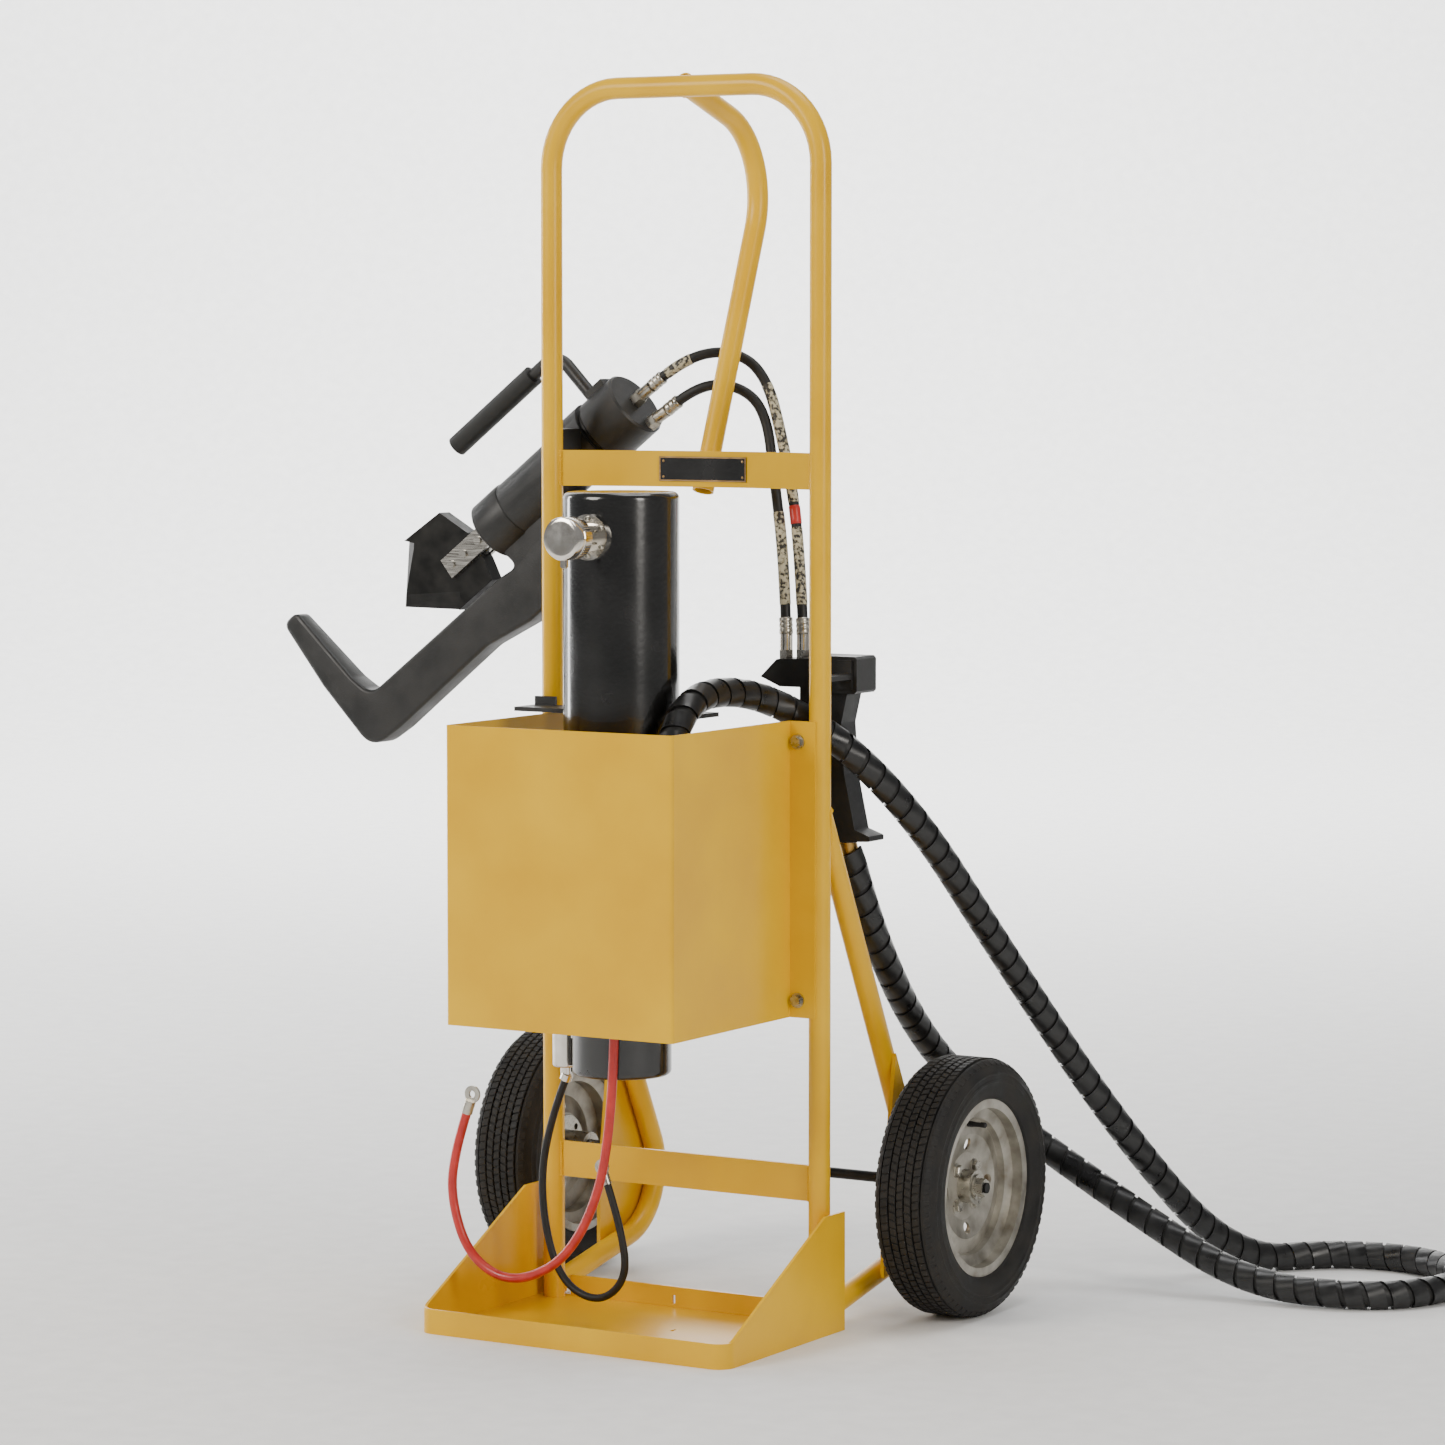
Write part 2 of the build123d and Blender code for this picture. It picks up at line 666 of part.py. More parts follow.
def blade_screws():
    screws = []
    outer = blade_thickness / 2 + 6
    for u in (-67, -45, -18):
        pin = cyl(3.0, at(u, 0, -outer), at(u, 0, outer))
        heads = cyl(5.0, at(u, 0, -outer - 2.5), at(u, 0, -outer))
        heads = heads + cyl(5.0, at(u, 0, outer), at(u, 0, outer + 2.5))
        screws.append(pin + heads)
    return Compound(screws)


def grip_bar():
    """Carrying handle: an arm out of the end block and a bar along the ram."""
    points = [at(212, -44), at(204, -grip_offset), at(24, -grip_offset)]
    return bent_rod(points, [24], 8.0) - ram_end_block()


def grip_sleeve():
    body = ring(grip_radius, 8.0, at(22, -grip_offset), at(160, -grip_offset))
    return body + cyl(grip_radius, at(19, -grip_offset), at(22, -grip_offset))


def hose_ends():
    """Crimped hose ends screwed into the end block."""
    rear = barrel_rear + end_block_length
    ends = []
    for n, route in ((-2.3, upper_hose_route), (31.9, lower_hose_route)):
        stop = route[0]
        nut_end = at(rear + 12, n)
        nut = extrude(Plane(origin=at(rear, n), z_dir=Vector(*stop) - Vector(*at(rear, n)))
                      * RegularPolygon(9.5, 6), 12)
        beyond = Vector(*stop) + (Vector(*route[1]) - Vector(*stop)).normalized() * 20
        ends.append((nut + cyl(7.6, nut_end, stop)) - cyl(14.0, stop, beyond) - ram_end_block())
    return Compound(ends)


def cradle(main_space):
    """Open clamp round the ram barrel, on an arm welded to the left upright."""
    along = (cutter_x + tube_half_span) / -cos(rise)
    clamp = ring(barrel_radius + 6, barrel_radius + 0.3, at(along - 14, 0), at(along + 12, 0))
    x, y, z = at(along, 0)
    clamp = clamp - block(x - 120, x + 120, y + 14, y + 90, z - 120, z + 120)
    arm = block(x - 12, x + 7, 4, y - 20, z - 16, z + 14)
    arm = arm - cyl(barrel_radius + 3.0, at(along - 60, 0), at(along + 60, 0))
    return (clamp + arm) - main_space


# ---------------------------------------------------------------- control valve
def valve_head():
    """Valve body block with the spool bore along its length."""
    y0 = valve_y - valve_depth / 2
    y1 = valve_y + valve_depth / 2
    body = block(head_split_x, head_right_x, y0, y1, head_bottom_z, head_top_z)
    body = chamfer(body.edges().filter_by(Axis.Y), 3)
    bore_z = (head_bottom_z + head_top_z) / 2
    bore = cyl(spool_radius + 0.05, (head_split_x - 5, valve_y, bore_z),
               (head_right_x - 10, valve_y, bore_z))
    return body - bore


def valve_manifold():
    """Light-metal port block in front of the head."""
    y0 = valve_y - valve_depth / 2 + 4
    outline = [(head_left_x, 751), (head_left_x + 22, 772), (head_split_x, 774),
               (head_split_x, 740), (head_left_x + 26, 740)]
    face = make_face(Polyline(*[(x, y0, z) for x, z in outline], close=True))
    body = extrude(face, valve_depth - 8, dir=(0, 1, 0))
    bore_z = (head_bottom_z + head_top_z) / 2
    body = body - cyl(spool_radius + 0.05, (head_left_x + 26, valve_y, bore_z),
                      (head_split_x + 5, valve_y, bore_z))
    return body + trigger_pivot()


def valve_spool():
    bore_z = (head_bottom_z + head_top_z) / 2
    left = cyl(spool_radius, (head_left_x + 36, valve_y, bore_z), (head_left_x + 62, valve_y, bore_z))
    stem = cyl(4.0, (head_left_x + 36, valve_y, bore_z), (head_right_x - 20, valve_y, bore_z))
    right = cyl(spool_radius, (head_right_x - 50, valve_y, bore_z), (head_right_x - 20, valve_y, bore_z))
    return left + stem + right


def valve_grip():
    """Pistol grip with a spur at its heel."""
    y0 = valve_y - 17
    outline = [(134, head_bottom_z), (176, head_bottom_z), (168, 700), (172, 640), (186, 576),
               (206, 569), (206, 563), (150, 560), (146, 585), (134, 650), (130, 700)]
    face = make_face(Polyline(*[(x, y0, z) for x, z in outline], close=True))
    body = extrude(face, 34, dir=(0, 1, 0))
    return fillet(body.edges().filter_by(Axis.Y), 2)


def trigger():
    """Squeeze trigger on a cross pin below the head."""
    pin_z = head_bottom_z - 12
    outline = [(trigger_x - 8, pin_z + 9), (trigger_x + 8, pin_z + 9), (trigger_x + 7, pin_z - 20),
               (trigger_x + 2, pin_z - 60), (trigger_x - 9, pin_z - 74), (trigger_x - 12, pin_z - 70),
               (trigger_x - 5, pin_z - 55), (trigger_x - 3, pin_z - 25)]
    face = make_face(Polyline(*[(x, valve_y - 8, z) for x, z in outline], close=True))
    body = extrude(face, 16, dir=(0, 1, 0))
    return body - cyl(3.05, (trigger_x, valve_y - 20, pin_z), (trigger_x, valve_y + 20, pin_z))


def trigger_pivot():
    """Two ears under the port block and the pin between them."""
    pin_z = head_bottom_z - 12
    ears = block(trigger_x - 8, trigger_x + 8, valve_y - 13, valve_y - 9, pin_z - 8, 740)
    ears = ears + block(trigger_x - 8, trigger_x + 8, valve_y + 9, valve_y + 13, pin_z - 8, 740)
    return ears + cyl(3.0, (trigger_x, valve_y - 13, pin_z), (trigger_x, valve_y + 13, pin_z))


def valve_ports():
    """Hose ends on top of the port block."""
    ends = []
    for route in (upper_hose_route, lower_hose_route):
        x, y, z = route[-1]
        beyond = Vector(x, y, z) + (Vector(*route[-2]) - Vector(x, y, z)).normalized() * 20
        low = 772.0 + 2.0 * (x - head_left_x - 22) / (head_split_x - head_left_x - 22) - 4.0
        nut = extrude(Plane(origin=(x, y, low)) * RegularPolygon(9.0, 6), 14)
        end = nut + cyl(7.6, (x, y, low + 14), (x, y, z + 3)) - valve_manifold()
        ends.append(end - cyl(14.0, (x, y, z), beyond))
    return Compound(ends)


def valve_hanger(main_space):
    """Flat hook from the right upright to the valve head."""
    y1 = valve_y - valve_depth / 2
    arm = block(tube_half_span - 16, tube_half_span + 4, 5, y1, 752, 758)
    pad = block(tube_half_span - 16, tube_half_span + 4, y1 - 4, y1, 740, 774)
    return (arm + pad) - main_space


def bundle_swivel():
    """Swivel under the grip that the wrapped hose leaves from."""
    stop = bundle_route[-1]
    before = Vector(*bundle_route[-2]) - Vector(*stop)
    top = Vector(*stop) - before.normalized() * 20
    body = cyl(11.0, (top.X, top.Y, top.Z), stop)
    return body - block(100, 220, 40, 140, 560, 640)


def bundle_port():
    """Pair of hose ends at the power unit, closed by a collar."""
    x, y, z = bundle_route[0]
    way = (Vector(*bundle_route[1]) - Vector(x, y, z)).normalized()
    foot = Vector(x, y, z) - way * 12
    collar = cyl(18.0, (foot.X, foot.Y, foot.Z), (x, y, z))
    return collar - block(0, 200, -260, -80, 470, 520)


# ---------------------------------------------------------------- lugs
def ring_lug(route, bore, eye, barrel, tail):
    """Crimped ring terminal on a cable end, its eye in the plane of the cart's front."""
    end = Vector(*route[-1])
    way = (end - Vector(*route[-2])).normalized()
    sleeve = cyl(barrel, end, end + way * tail)
    centre = end + way * (tail + eye * 0.8)
    disc = extrude(Plane(origin=centre - Vector(0, 1.5, 0), z_dir=(0, 1, 0)) * Circle(eye), 3.0)
    tongue = cyl(1.5, end + way * (tail - 2), centre)
    hole = extrude(Plane(origin=centre - Vector(0, 5, 0), z_dir=(0, 1, 0)) * Circle(bore), 10.0)
    return sleeve + disc + tongue - hole


def black_boot():
    """Insulating boot under the motor switch."""
    x, y, z = black_route[0]
    way = (Vector(x, y, z) - Vector(*black_route[1])).normalized()
    top = Vector(x, y, z) + way * 8
    boot = cyl(7.0, (x, y, z), (top.X, top.Y, top.Z))
    return boot + cyl(6.0, (x, y, z + 4), (contactor_x, contactor_y, motor_bottom_z + 2))


# ---------------------------------------------------------------- write
def build_all():
    space = main_tube_space()
    brace = right_brace(space)
    plate = right_axle_plate()
    parts = {
        "main_tube": main_tube(),
        "rear_handle": rear_handle(space),
        "upper_crossbar": upper_crossbar(space),
        "lower_crossbar": lower_crossbar(space),
        "nameplate": nameplate(),
        "right_brace": brace,
        "left_brace": mirror_x(brace),
        "right_axle_plate": plate,
        "left_axle_plate": mirror_x(plate),
        "toe_tray": toe_tray(),
        "shroud_tabs": shroud_tabs(space),
        "shroud": shroud(),
        "shroud_bolts": shroud_bolts(),
        "axle": axle(),
        "axle_spacers": axle_spacers(),
        "axle_nuts": axle_nuts(),
        "tank_shell": tank_shell(),
        "filler_neck": filler_neck(),
        "filler_screws": filler_screws(),
        "filler_cap": filler_cap(),
        "manifold_block": manifold_block(),
        "motor_case": motor_case(),
        "drive_shaft": drive_shaft(),
        "idler_gear": idler_gear(),
        "unit_bracket": unit_bracket(space),
        "steady_plate": steady_plate(),
        "contactor": contactor(),
        "hook_body": hook_body(),
        "ram_barrel": ram_barrel(),
        "ram_end_block": ram_end_block(),
        "ram_piston": ram_piston(),
        "blade": blade(),
        "blade_side_plates": blade_side_plates(),
        "blade_screws": blade_screws(),
        "grip_bar": grip_bar(),
        "grip_sleeve": grip_sleeve(),
        "hose_ends": hose_ends(),
        "cutter_cradle": cradle(space),
        "valve_head": valve_head(),
        "valve_manifold": valve_manifold(),
        "valve_spool": valve_spool(),
        "valve_grip": valve_grip(),
        "trigger": trigger(),
        "valve_ports": valve_ports(),
        "valve_hanger": valve_hanger(space),
        "bundle_swivel": bundle_swivel(),
        "bundle_port": bundle_port(),
        "wrapped_hose": cord(bundle_route, bundle_diameter, "wrapped_hose"),
        "upper_hose": cord(upper_hose_route, thin_hose_diameter, "upper_hose"),
        "lower_hose": cord(lower_hose_route, thin_hose_diameter, "lower_hose"),
        "red_cable": cord(red_route, red_cable_diameter, "red_cable"),
        "black_cable": cord(black_route, black_cable_diameter, "black_cable"),
        "red_lug": ring_lug(red_route, 4.2, 10.0, 6.5, 16),
        "black_lug": ring_lug(black_route, 4.2, 9.0, 5.5, 14),
    }
    for name, side in (("right", 1), ("left", -1)):
        mid = side * wheel_mid_x
        parts[name + "_tyre"] = tyre(mid)
        parts[name + "_rim"] = rim(mid, side)
        parts[name + "_hub"] = hub(mid, side) + hub_bushes(mid, side)
    return parts


os.makedirs("parts", exist_ok=True)
for name, shape in build_all().items():
    export_step(shape, "parts/" + name + ".step")
    print(name, round(shape.volume), shape.is_valid, len(shape.solids()))
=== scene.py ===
import math
import bmesh
import bpy
from mathutils import Matrix, Vector


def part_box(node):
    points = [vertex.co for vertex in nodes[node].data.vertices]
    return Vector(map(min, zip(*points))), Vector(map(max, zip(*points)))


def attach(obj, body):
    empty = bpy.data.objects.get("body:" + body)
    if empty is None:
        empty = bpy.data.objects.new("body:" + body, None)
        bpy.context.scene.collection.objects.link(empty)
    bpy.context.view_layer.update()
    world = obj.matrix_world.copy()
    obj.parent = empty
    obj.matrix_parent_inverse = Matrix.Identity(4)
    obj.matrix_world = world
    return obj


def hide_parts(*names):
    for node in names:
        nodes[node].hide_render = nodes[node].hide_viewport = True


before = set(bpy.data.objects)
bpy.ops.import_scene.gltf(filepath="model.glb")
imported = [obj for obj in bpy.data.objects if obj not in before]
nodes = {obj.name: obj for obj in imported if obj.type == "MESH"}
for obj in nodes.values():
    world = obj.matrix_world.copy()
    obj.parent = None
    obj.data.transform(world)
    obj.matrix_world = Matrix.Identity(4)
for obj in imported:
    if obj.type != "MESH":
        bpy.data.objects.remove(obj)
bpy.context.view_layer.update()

collection = bpy.context.scene.collection
MM = 0.001
TAU = 2 * math.pi
WHITE = (1, 1, 1)

# The camera looks from the front right and a little above. The backdrop lies away from it.
CAMERA_TURN = math.radians(31.14)
CAMERA_TILT = math.radians(4.39)
CAMERA_DISTANCE = 5.659
CAMERA_SHIFT = 0.0446
CAMERA_HEIGHT = 0.699
AWAY = Vector((-math.sin(CAMERA_TURN), math.cos(CAMERA_TURN), 0))
ACROSS = Vector((math.cos(CAMERA_TURN), math.sin(CAMERA_TURN), 0))

# Sizes that several details share with the CAD, in mm.
TUBE_RADIUS = 12.7
TUBE_SIDE = 183
FILLER_HEIGHT = 922
RISE = math.radians(37.8)
CUTTER_ORIGIN = (-328, 95, 913)


def linked(name, data):
    """A new object in the scene."""
    thing = bpy.data.objects.new(name, data)
    collection.objects.link(thing)
    return thing


# ---------------------------------------------------------------- camera and light
def add_camera():
    """A long lens, aimed a little to the right of the cart's middle."""
    turn, tilt = CAMERA_TURN, CAMERA_TILT
    forward = Vector((-math.sin(turn) * math.cos(tilt), math.cos(turn) * math.cos(tilt),
                      -math.sin(tilt)))
    aim = ACROSS * CAMERA_SHIFT + Vector((0, 0, CAMERA_HEIGHT))
    data = bpy.data.cameras.new("camera")
    data.lens = 120.75
    data.sensor_width = 36
    data.clip_end = 50
    camera = linked("camera", data)
    camera.location = aim - forward * CAMERA_DISTANCE
    camera.rotation_euler = (math.radians(90) - tilt, 0, turn)
    bpy.context.scene.camera = camera


def add_light(name, place, aim, size, power, colour):
    """A soft box of the given width and height."""
    data = bpy.data.lights.new(name, "AREA")
    data.shape = "RECTANGLE"
    data.size, data.size_y = size
    data.energy = power
    data.color = colour
    light = linked(name, data)
    light.location = place
    light.rotation_euler = (Vector(aim) - Vector(place)).to_track_quat("-Z", "Y").to_euler()


def add_lights():
    """Four soft boxes on the cart, one on the backdrop, and a dim even sky."""
    middle = (0, 0, 0.7)
    warm = (1.0, 0.96, 0.9)
    add_light("key_box", (-2.2, -4.2, 3.0), middle, (2.2, 2.2), 190, warm)
    add_light("side_box", (4.2, -1.6, 2.0), middle, (1.0, 2.4), 95, warm)
    add_light("left_strip", (-3.6, 0.2, 1.2), middle, (0.5, 2.2), 60, WHITE)
    add_light("top_box", (0.4, 0.6, 4.2), middle, (2.4, 2.0), 70, WHITE)
    wall = AWAY * 10.5 + Vector((0, 0, 2.2))
    add_light("wall_box", AWAY * 5.0 + Vector((0, 0, 6.5)), wall, (6.0, 2.0), 1900, WHITE)
    world = bpy.data.worlds.new("studio")
    world.use_nodes = True
    world.node_tree.nodes["Background"].inputs["Color"].default_value = (0.95, 0.95, 0.96, 1)
    world.node_tree.nodes["Background"].inputs["Strength"].default_value = 0.32
    bpy.context.scene.world = world


# ---------------------------------------------------------------- nodes and materials
def linear(code):
    """An sRGB hex colour as linear RGBA."""
    values = []
    for i in (1, 3, 5):
        part = int(code[i:i + 2], 16) / 255
        values.append(part / 12.92 if part <= 0.04045 else ((part + 0.055) / 1.055) ** 2.4)
    return (*values, 1.0)


def add(tree, kind, inputs=None, **settings):
    """Add a node. Its settings come first, then its inputs, each a value or a socket to link."""
    node = tree.nodes.new(kind)
    for key, value in settings.items():
        setattr(node, key, value)
    for key, value in (inputs or {}).items():
        if isinstance(value, bpy.types.NodeSocket):
            tree.links.new(value, node.inputs[key])
        else:
            node.inputs[key].default_value = value
    return node


def surface(name, **constants):
    """A material with its shader's constants set. Returns it, its tree, shader and coordinates."""
    material = bpy.data.materials.new(name)
    material.use_nodes = True
    tree = material.node_tree
    shader = tree.nodes["Principled BSDF"]
    for key, value in constants.items():
        shader.inputs[key.replace("_", " ")].default_value = value
    place = add(tree, "ShaderNodeTexCoord").outputs["Object"]
    return material, tree, shader, place


def colour_by(tree, shader, factor, low, high, dark, light):
    """Base colour runs from dark to light as the factor goes from low to high."""
    ramp = add(tree, "ShaderNodeValToRGB", {"Fac": factor})
    ramp.color_ramp.elements[0].position = low
    ramp.color_ramp.elements[0].color = linear(dark)
    ramp.color_ramp.elements[1].position = high
    ramp.color_ramp.elements[1].color = linear(light)
    tree.links.new(ramp.outputs["Color"], shader.inputs["Base Color"])


def noise(tree, place, scale, detail):
    """A noise field from 0 to 1 at the given coordinates."""
    field = add(tree, "ShaderNodeTexNoise", {"Vector": place, "Scale": scale, "Detail": detail})
    return field.outputs["Fac"]


def rough_by(tree, shader, factor, low, high):
    """Roughness runs from low to high with the factor."""
    spread = add(tree, "ShaderNodeMapRange", {"Value": factor, "From Min": 0.3, "From Max": 0.7,
                                              "To Min": low, "To Max": high})
    tree.links.new(spread.outputs["Result"], shader.inputs["Roughness"])


def bump_by(tree, shader, height, depth, strength=1.0):
    """Bump of the given depth in metres."""
    bump = add(tree, "ShaderNodeBump", {"Height": height, "Distance": depth, "Strength": strength})
    tree.links.new(bump.outputs["Normal"], shader.inputs["Normal"])


def yellow_enamel():
    # Sprayed yellow enamel on steel: a soft gloss with faint orange peel and duller patches.
    material, tree, shader, place = surface(
        "yellow_enamel", Coat_Weight=0.08, Coat_Roughness=0.15, Specular_IOR_Level=0.3)
    patch = noise(tree, place, 7.0, 4.0)
    colour_by(tree, shader, patch, 0.3, 0.72, "#D9A400", "#EAB800")
    rough_by(tree, shader, patch, 0.27, 0.42)
    peel = noise(tree, place, 260.0, 1.5)
    bump_by(tree, shader, peel, 0.00022, 0.5)
    return material


def gloss_black():
    # Stove-enamelled black steel: deep gloss that shows the soft boxes, with slight waviness.
    material, tree, shader, place = surface(
        "gloss_black", Coat_Weight=0.5, Coat_Roughness=0.06, Specular_IOR_Level=0.5)
    patch = noise(tree, place, 14.0, 5.0)
    colour_by(tree, shader, patch, 0.3, 0.75, "#0B0B0A", "#151413")
    rough_by(tree, shader, patch, 0.16, 0.3)
    peel = noise(tree, place, 190.0, 1.0)
    bump_by(tree, shader, peel, 0.0002, 0.45)
    return material


def satin_black():
    # Satin black paint on a forging: fine cast grain, rubbed a little paler in patches.
    material, tree, shader, place = surface("satin_black", Specular_IOR_Level=0.5)
    patch = noise(tree, place, 26.0, 6.0)
    colour_by(tree, shader, patch, 0.35, 0.8, "#121211", "#262524")
    rough_by(tree, shader, patch, 0.36, 0.54)
    grain = noise(tree, place, 520.0, 3.0)
    bump_by(tree, shader, grain, 0.00028, 0.6)
    return material


def zinc_steel():
    # Bright zinc plate on fasteners: pale metal with a cloudy, slightly uneven shine.
    material, tree, shader, place = surface("zinc_steel", Metallic=1.0)
    cloud = noise(tree, place, 120.0, 4.0)
    colour_by(tree, shader, cloud, 0.3, 0.75, "#9A968C", "#C9C5BA")
    rough_by(tree, shader, cloud, 0.22, 0.4)
    bump_by(tree, shader, cloud, 0.0001, 0.4)
    return material


def silver_paint():
    # Aluminium paint on pressed rims: soft silver with fine flake and a dusting of dirt.
    material, tree, shader, place = surface("silver_paint", Metallic=0.8)
    dirt = noise(tree, place, 38.0, 7.0)
    colour_by(tree, shader, dirt, 0.28, 0.62, "#837D71", "#B9B5AB")
    rough_by(tree, shader, dirt, 0.34, 0.5)
    # Real flake is far below a millimetre; it is drawn coarser so that it shows.
    flake = add(tree, "ShaderNodeTexVoronoi", {"Vector": place, "Scale": 900.0})
    bump_by(tree, shader, flake.outputs["Distance"], 0.00008, 0.4)
    return material


def brushed_steel(name, dark, light, low, high):
    """Ground steel: fine lines one way, broken by noise."""
    material, tree, shader, place = surface(name, Metallic=1.0)
    stretch = add(tree, "ShaderNodeMapping", {"Vector": place, "Scale": (30.0, 900.0, 900.0)})
    lines = noise(tree, stretch.outputs["Vector"], 1.0, 4.0)
    colour_by(tree, shader, lines, 0.3, 0.72, dark, light)
    rough_by(tree, shader, lines, low, high)
    bump_by(tree, shader, lines, 0.00008, 0.5)
    return material


def black_oxide():
    # Blackened tool steel: dark, slightly oily metal with faint grinding blotches.
    material, tree, shader, place = surface("black_oxide_steel", Metallic=0.6)
    blotch = noise(tree, place, 55.0, 6.0)
    colour_by(tree, shader, blotch, 0.3, 0.75, "#10100F", "#242321")
    rough_by(tree, shader, blotch, 0.34, 0.5)
    bump_by(tree, shader, blotch, 0.00012, 0.4)
    return material


def chrome_plate():
    # Polished chrome: mirror bright with faint haze and finger smears.
    material, tree, shader, place = surface("chrome_plate", Metallic=1.0)
    haze = noise(tree, place, 60.0, 5.0)
    colour_by(tree, shader, haze, 0.3, 0.7, "#C9C3B8", "#E4E0D8")
    rough_by(tree, shader, haze, 0.07, 0.2)
    bump_by(tree, shader, haze, 0.00006, 0.3)
    return material


def brass_metal():
    # Machined brass: warm yellow metal with turning marks and slight tarnish.
    material, tree, shader, place = surface("brass_metal", Metallic=1.0)
    stain = noise(tree, place, 90.0, 5.0)
    colour_by(tree, shader, stain, 0.3, 0.7, "#8C6A35", "#BF9A57")
    rough_by(tree, shader, stain, 0.24, 0.42)
    bump_by(tree, shader, stain, 0.0001, 0.3)
    return material


def tyre_rubber():
    # Tyre rubber: dry black with grey bloom and dust, dull and slightly mottled.
    material, tree, shader, place = surface("tyre_rubber", Specular_IOR_Level=0.35)
    dust = noise(tree, place, 34.0, 8.0)
    colour_by(tree, shader, dust, 0.36, 0.8, "#131211", "#2F2C28")
    rough_by(tree, shader, dust, 0.55, 0.82)
    grain = noise(tree, place, 700.0, 2.0)
    bump_by(tree, shader, grain, 0.0002, 0.6)
    return material


def hose_rubber():
    # Hydraulic hose cover: matt black rubber with a faint cloth-wrap weave.
    material, tree, shader, place = surface("hose_rubber", Specular_IOR_Level=0.4)
    soil = noise(tree, place, 70.0, 5.0)
    colour_by(tree, shader, soil, 0.3, 0.8, "#101010", "#232220")
    rough_by(tree, shader, soil, 0.42, 0.62)
    weave = noise(tree, place, 900.0, 1.0)
    bump_by(tree, shader, weave, 0.0002, 0.5)
    return material


def wrap_plastic():
    # Spiral wrap in black polyethylene: waxy shine with scuffs from the floor.
    material, tree, shader, place = surface("wrap_plastic", Specular_IOR_Level=0.5)
    scuff = noise(tree, place, 48.0, 7.0)
    colour_by(tree, shader, scuff, 0.35, 0.85, "#0D0D0D", "#262626")
    rough_by(tree, shader, scuff, 0.24, 0.46)
    bump_by(tree, shader, scuff, 0.0003, 0.4)
    return material


def cable_rubber(name, dark, light):
    """Battery cable sheath: smooth vinyl with a soft shine and faint marks."""
    material, tree, shader, place = surface(name, Specular_IOR_Level=0.45, Coat_Weight=0.15)
    mark = noise(tree, place, 60.0, 4.0)
    colour_by(tree, shader, mark, 0.3, 0.75, dark, light)
    rough_by(tree, shader, mark, 0.3, 0.46)
    bump_by(tree, shader, mark, 0.00015, 0.4)
    return material


def grained_plastic():
    # Moulded black grip plastic: leather-like grain that breaks up the highlights.
    material, tree, shader, place = surface("grained_plastic", Specular_IOR_Level=0.45)
    cell = add(tree, "ShaderNodeTexVoronoi", {"Vector": place, "Scale": 620.0})
    patch = noise(tree, place, 40.0, 4.0)
    colour_by(tree, shader, patch, 0.3, 0.8, "#111111", "#202020")
    rough_by(tree, shader, patch, 0.42, 0.58)
    bump_by(tree, shader, cell.outputs["Distance"], 0.0003, 0.5)
    return material


def printed_sleeve():
    # Pale braid-like sleeve on the hoses: off-white with worn dark flecks, no print.
    material, tree, shader, place = surface("printed_sleeve", Specular_IOR_Level=0.35)
    fleck = noise(tree, place, 210.0, 3.0)
    colour_by(tree, shader, fleck, 0.42, 0.56, "#2A2824", "#B9B196")
    rough_by(tree, shader, fleck, 0.45, 0.6)
    bump_by(tree, shader, fleck, 0.0002, 0.4)
    return material


def floor_paper():
    # Pale seamless studio paper: almost white with the faintest fibre.
    material, tree, shader, place = surface("floor_paper", Specular_IOR_Level=0.1)
    fibre = noise(tree, place, 30.0, 6.0)
    colour_by(tree, shader, fibre, 0.3, 0.7, "#EDEDEC", "#F4F4F3")
    rough_by(tree, shader, fibre, 0.8, 0.95)
    return material


YELLOW = yellow_enamel()
GLOSS = gloss_black()
SATIN = satin_black()
ZINC = zinc_steel()
SILVER = silver_paint()
STEEL = brushed_steel("ground_steel", "#8E8B84", "#C6C3BC", 0.2, 0.36)
DARK_STEEL = black_oxide()
ALUMINIUM = brushed_steel("machined_aluminium", "#5F5E5B", "#8C8A86", 0.34, 0.5)
BRONZE = brushed_steel("bronze_trim", "#8A6D49", "#B8976B", 0.28, 0.42)
CHROME = chrome_plate()
BRASS = brass_metal()
TYRE = tyre_rubber()
HOSE = hose_rubber()
WRAP = wrap_plastic()
RED = cable_rubber("red_vinyl", "#A81F1A", "#C8322B")
PLASTIC = grained_plastic()
SLEEVE = printed_sleeve()

NODE_MATERIALS = {
    YELLOW: "main_tube rear_handle upper_crossbar lower_crossbar right_brace left_brace "
            "right_axle_plate left_axle_plate toe_tray shroud_tabs shroud",
    GLOSS: "tank_shell motor_case",
    SATIN: "unit_bracket steady_plate hook_body ram_barrel ram_end_block grip_bar valve_head "
           "valve_manifold cutter_cradle valve_hanger",
    ZINC: "shroud_bolts axle_spacers axle_nuts right_hub left_hub hose_ends filler_screws "
          "bundle_port red_lug black_lug",
    STEEL: "blade_side_plates blade_screws ram_piston valve_spool drive_shaft idler_gear",
    SILVER: "right_rim left_rim",
    DARK_STEEL: "axle blade",
    CHROME: "filler_neck filler_cap contactor valve_ports",
    ALUMINIUM: "manifold_block",
    BRASS: "bundle_swivel",
    TYRE: "right_tyre left_tyre",
    HOSE: "wrapped_hose upper_hose lower_hose black_cable grip_sleeve",
    RED: "red_cable",
    PLASTIC: "valve_grip trigger nameplate",
}
for material, names in NODE_MATERIALS.items():
    for name in names.split():
        node = nodes[name]
        node.data.materials.clear()
        node.data.materials.append(material)


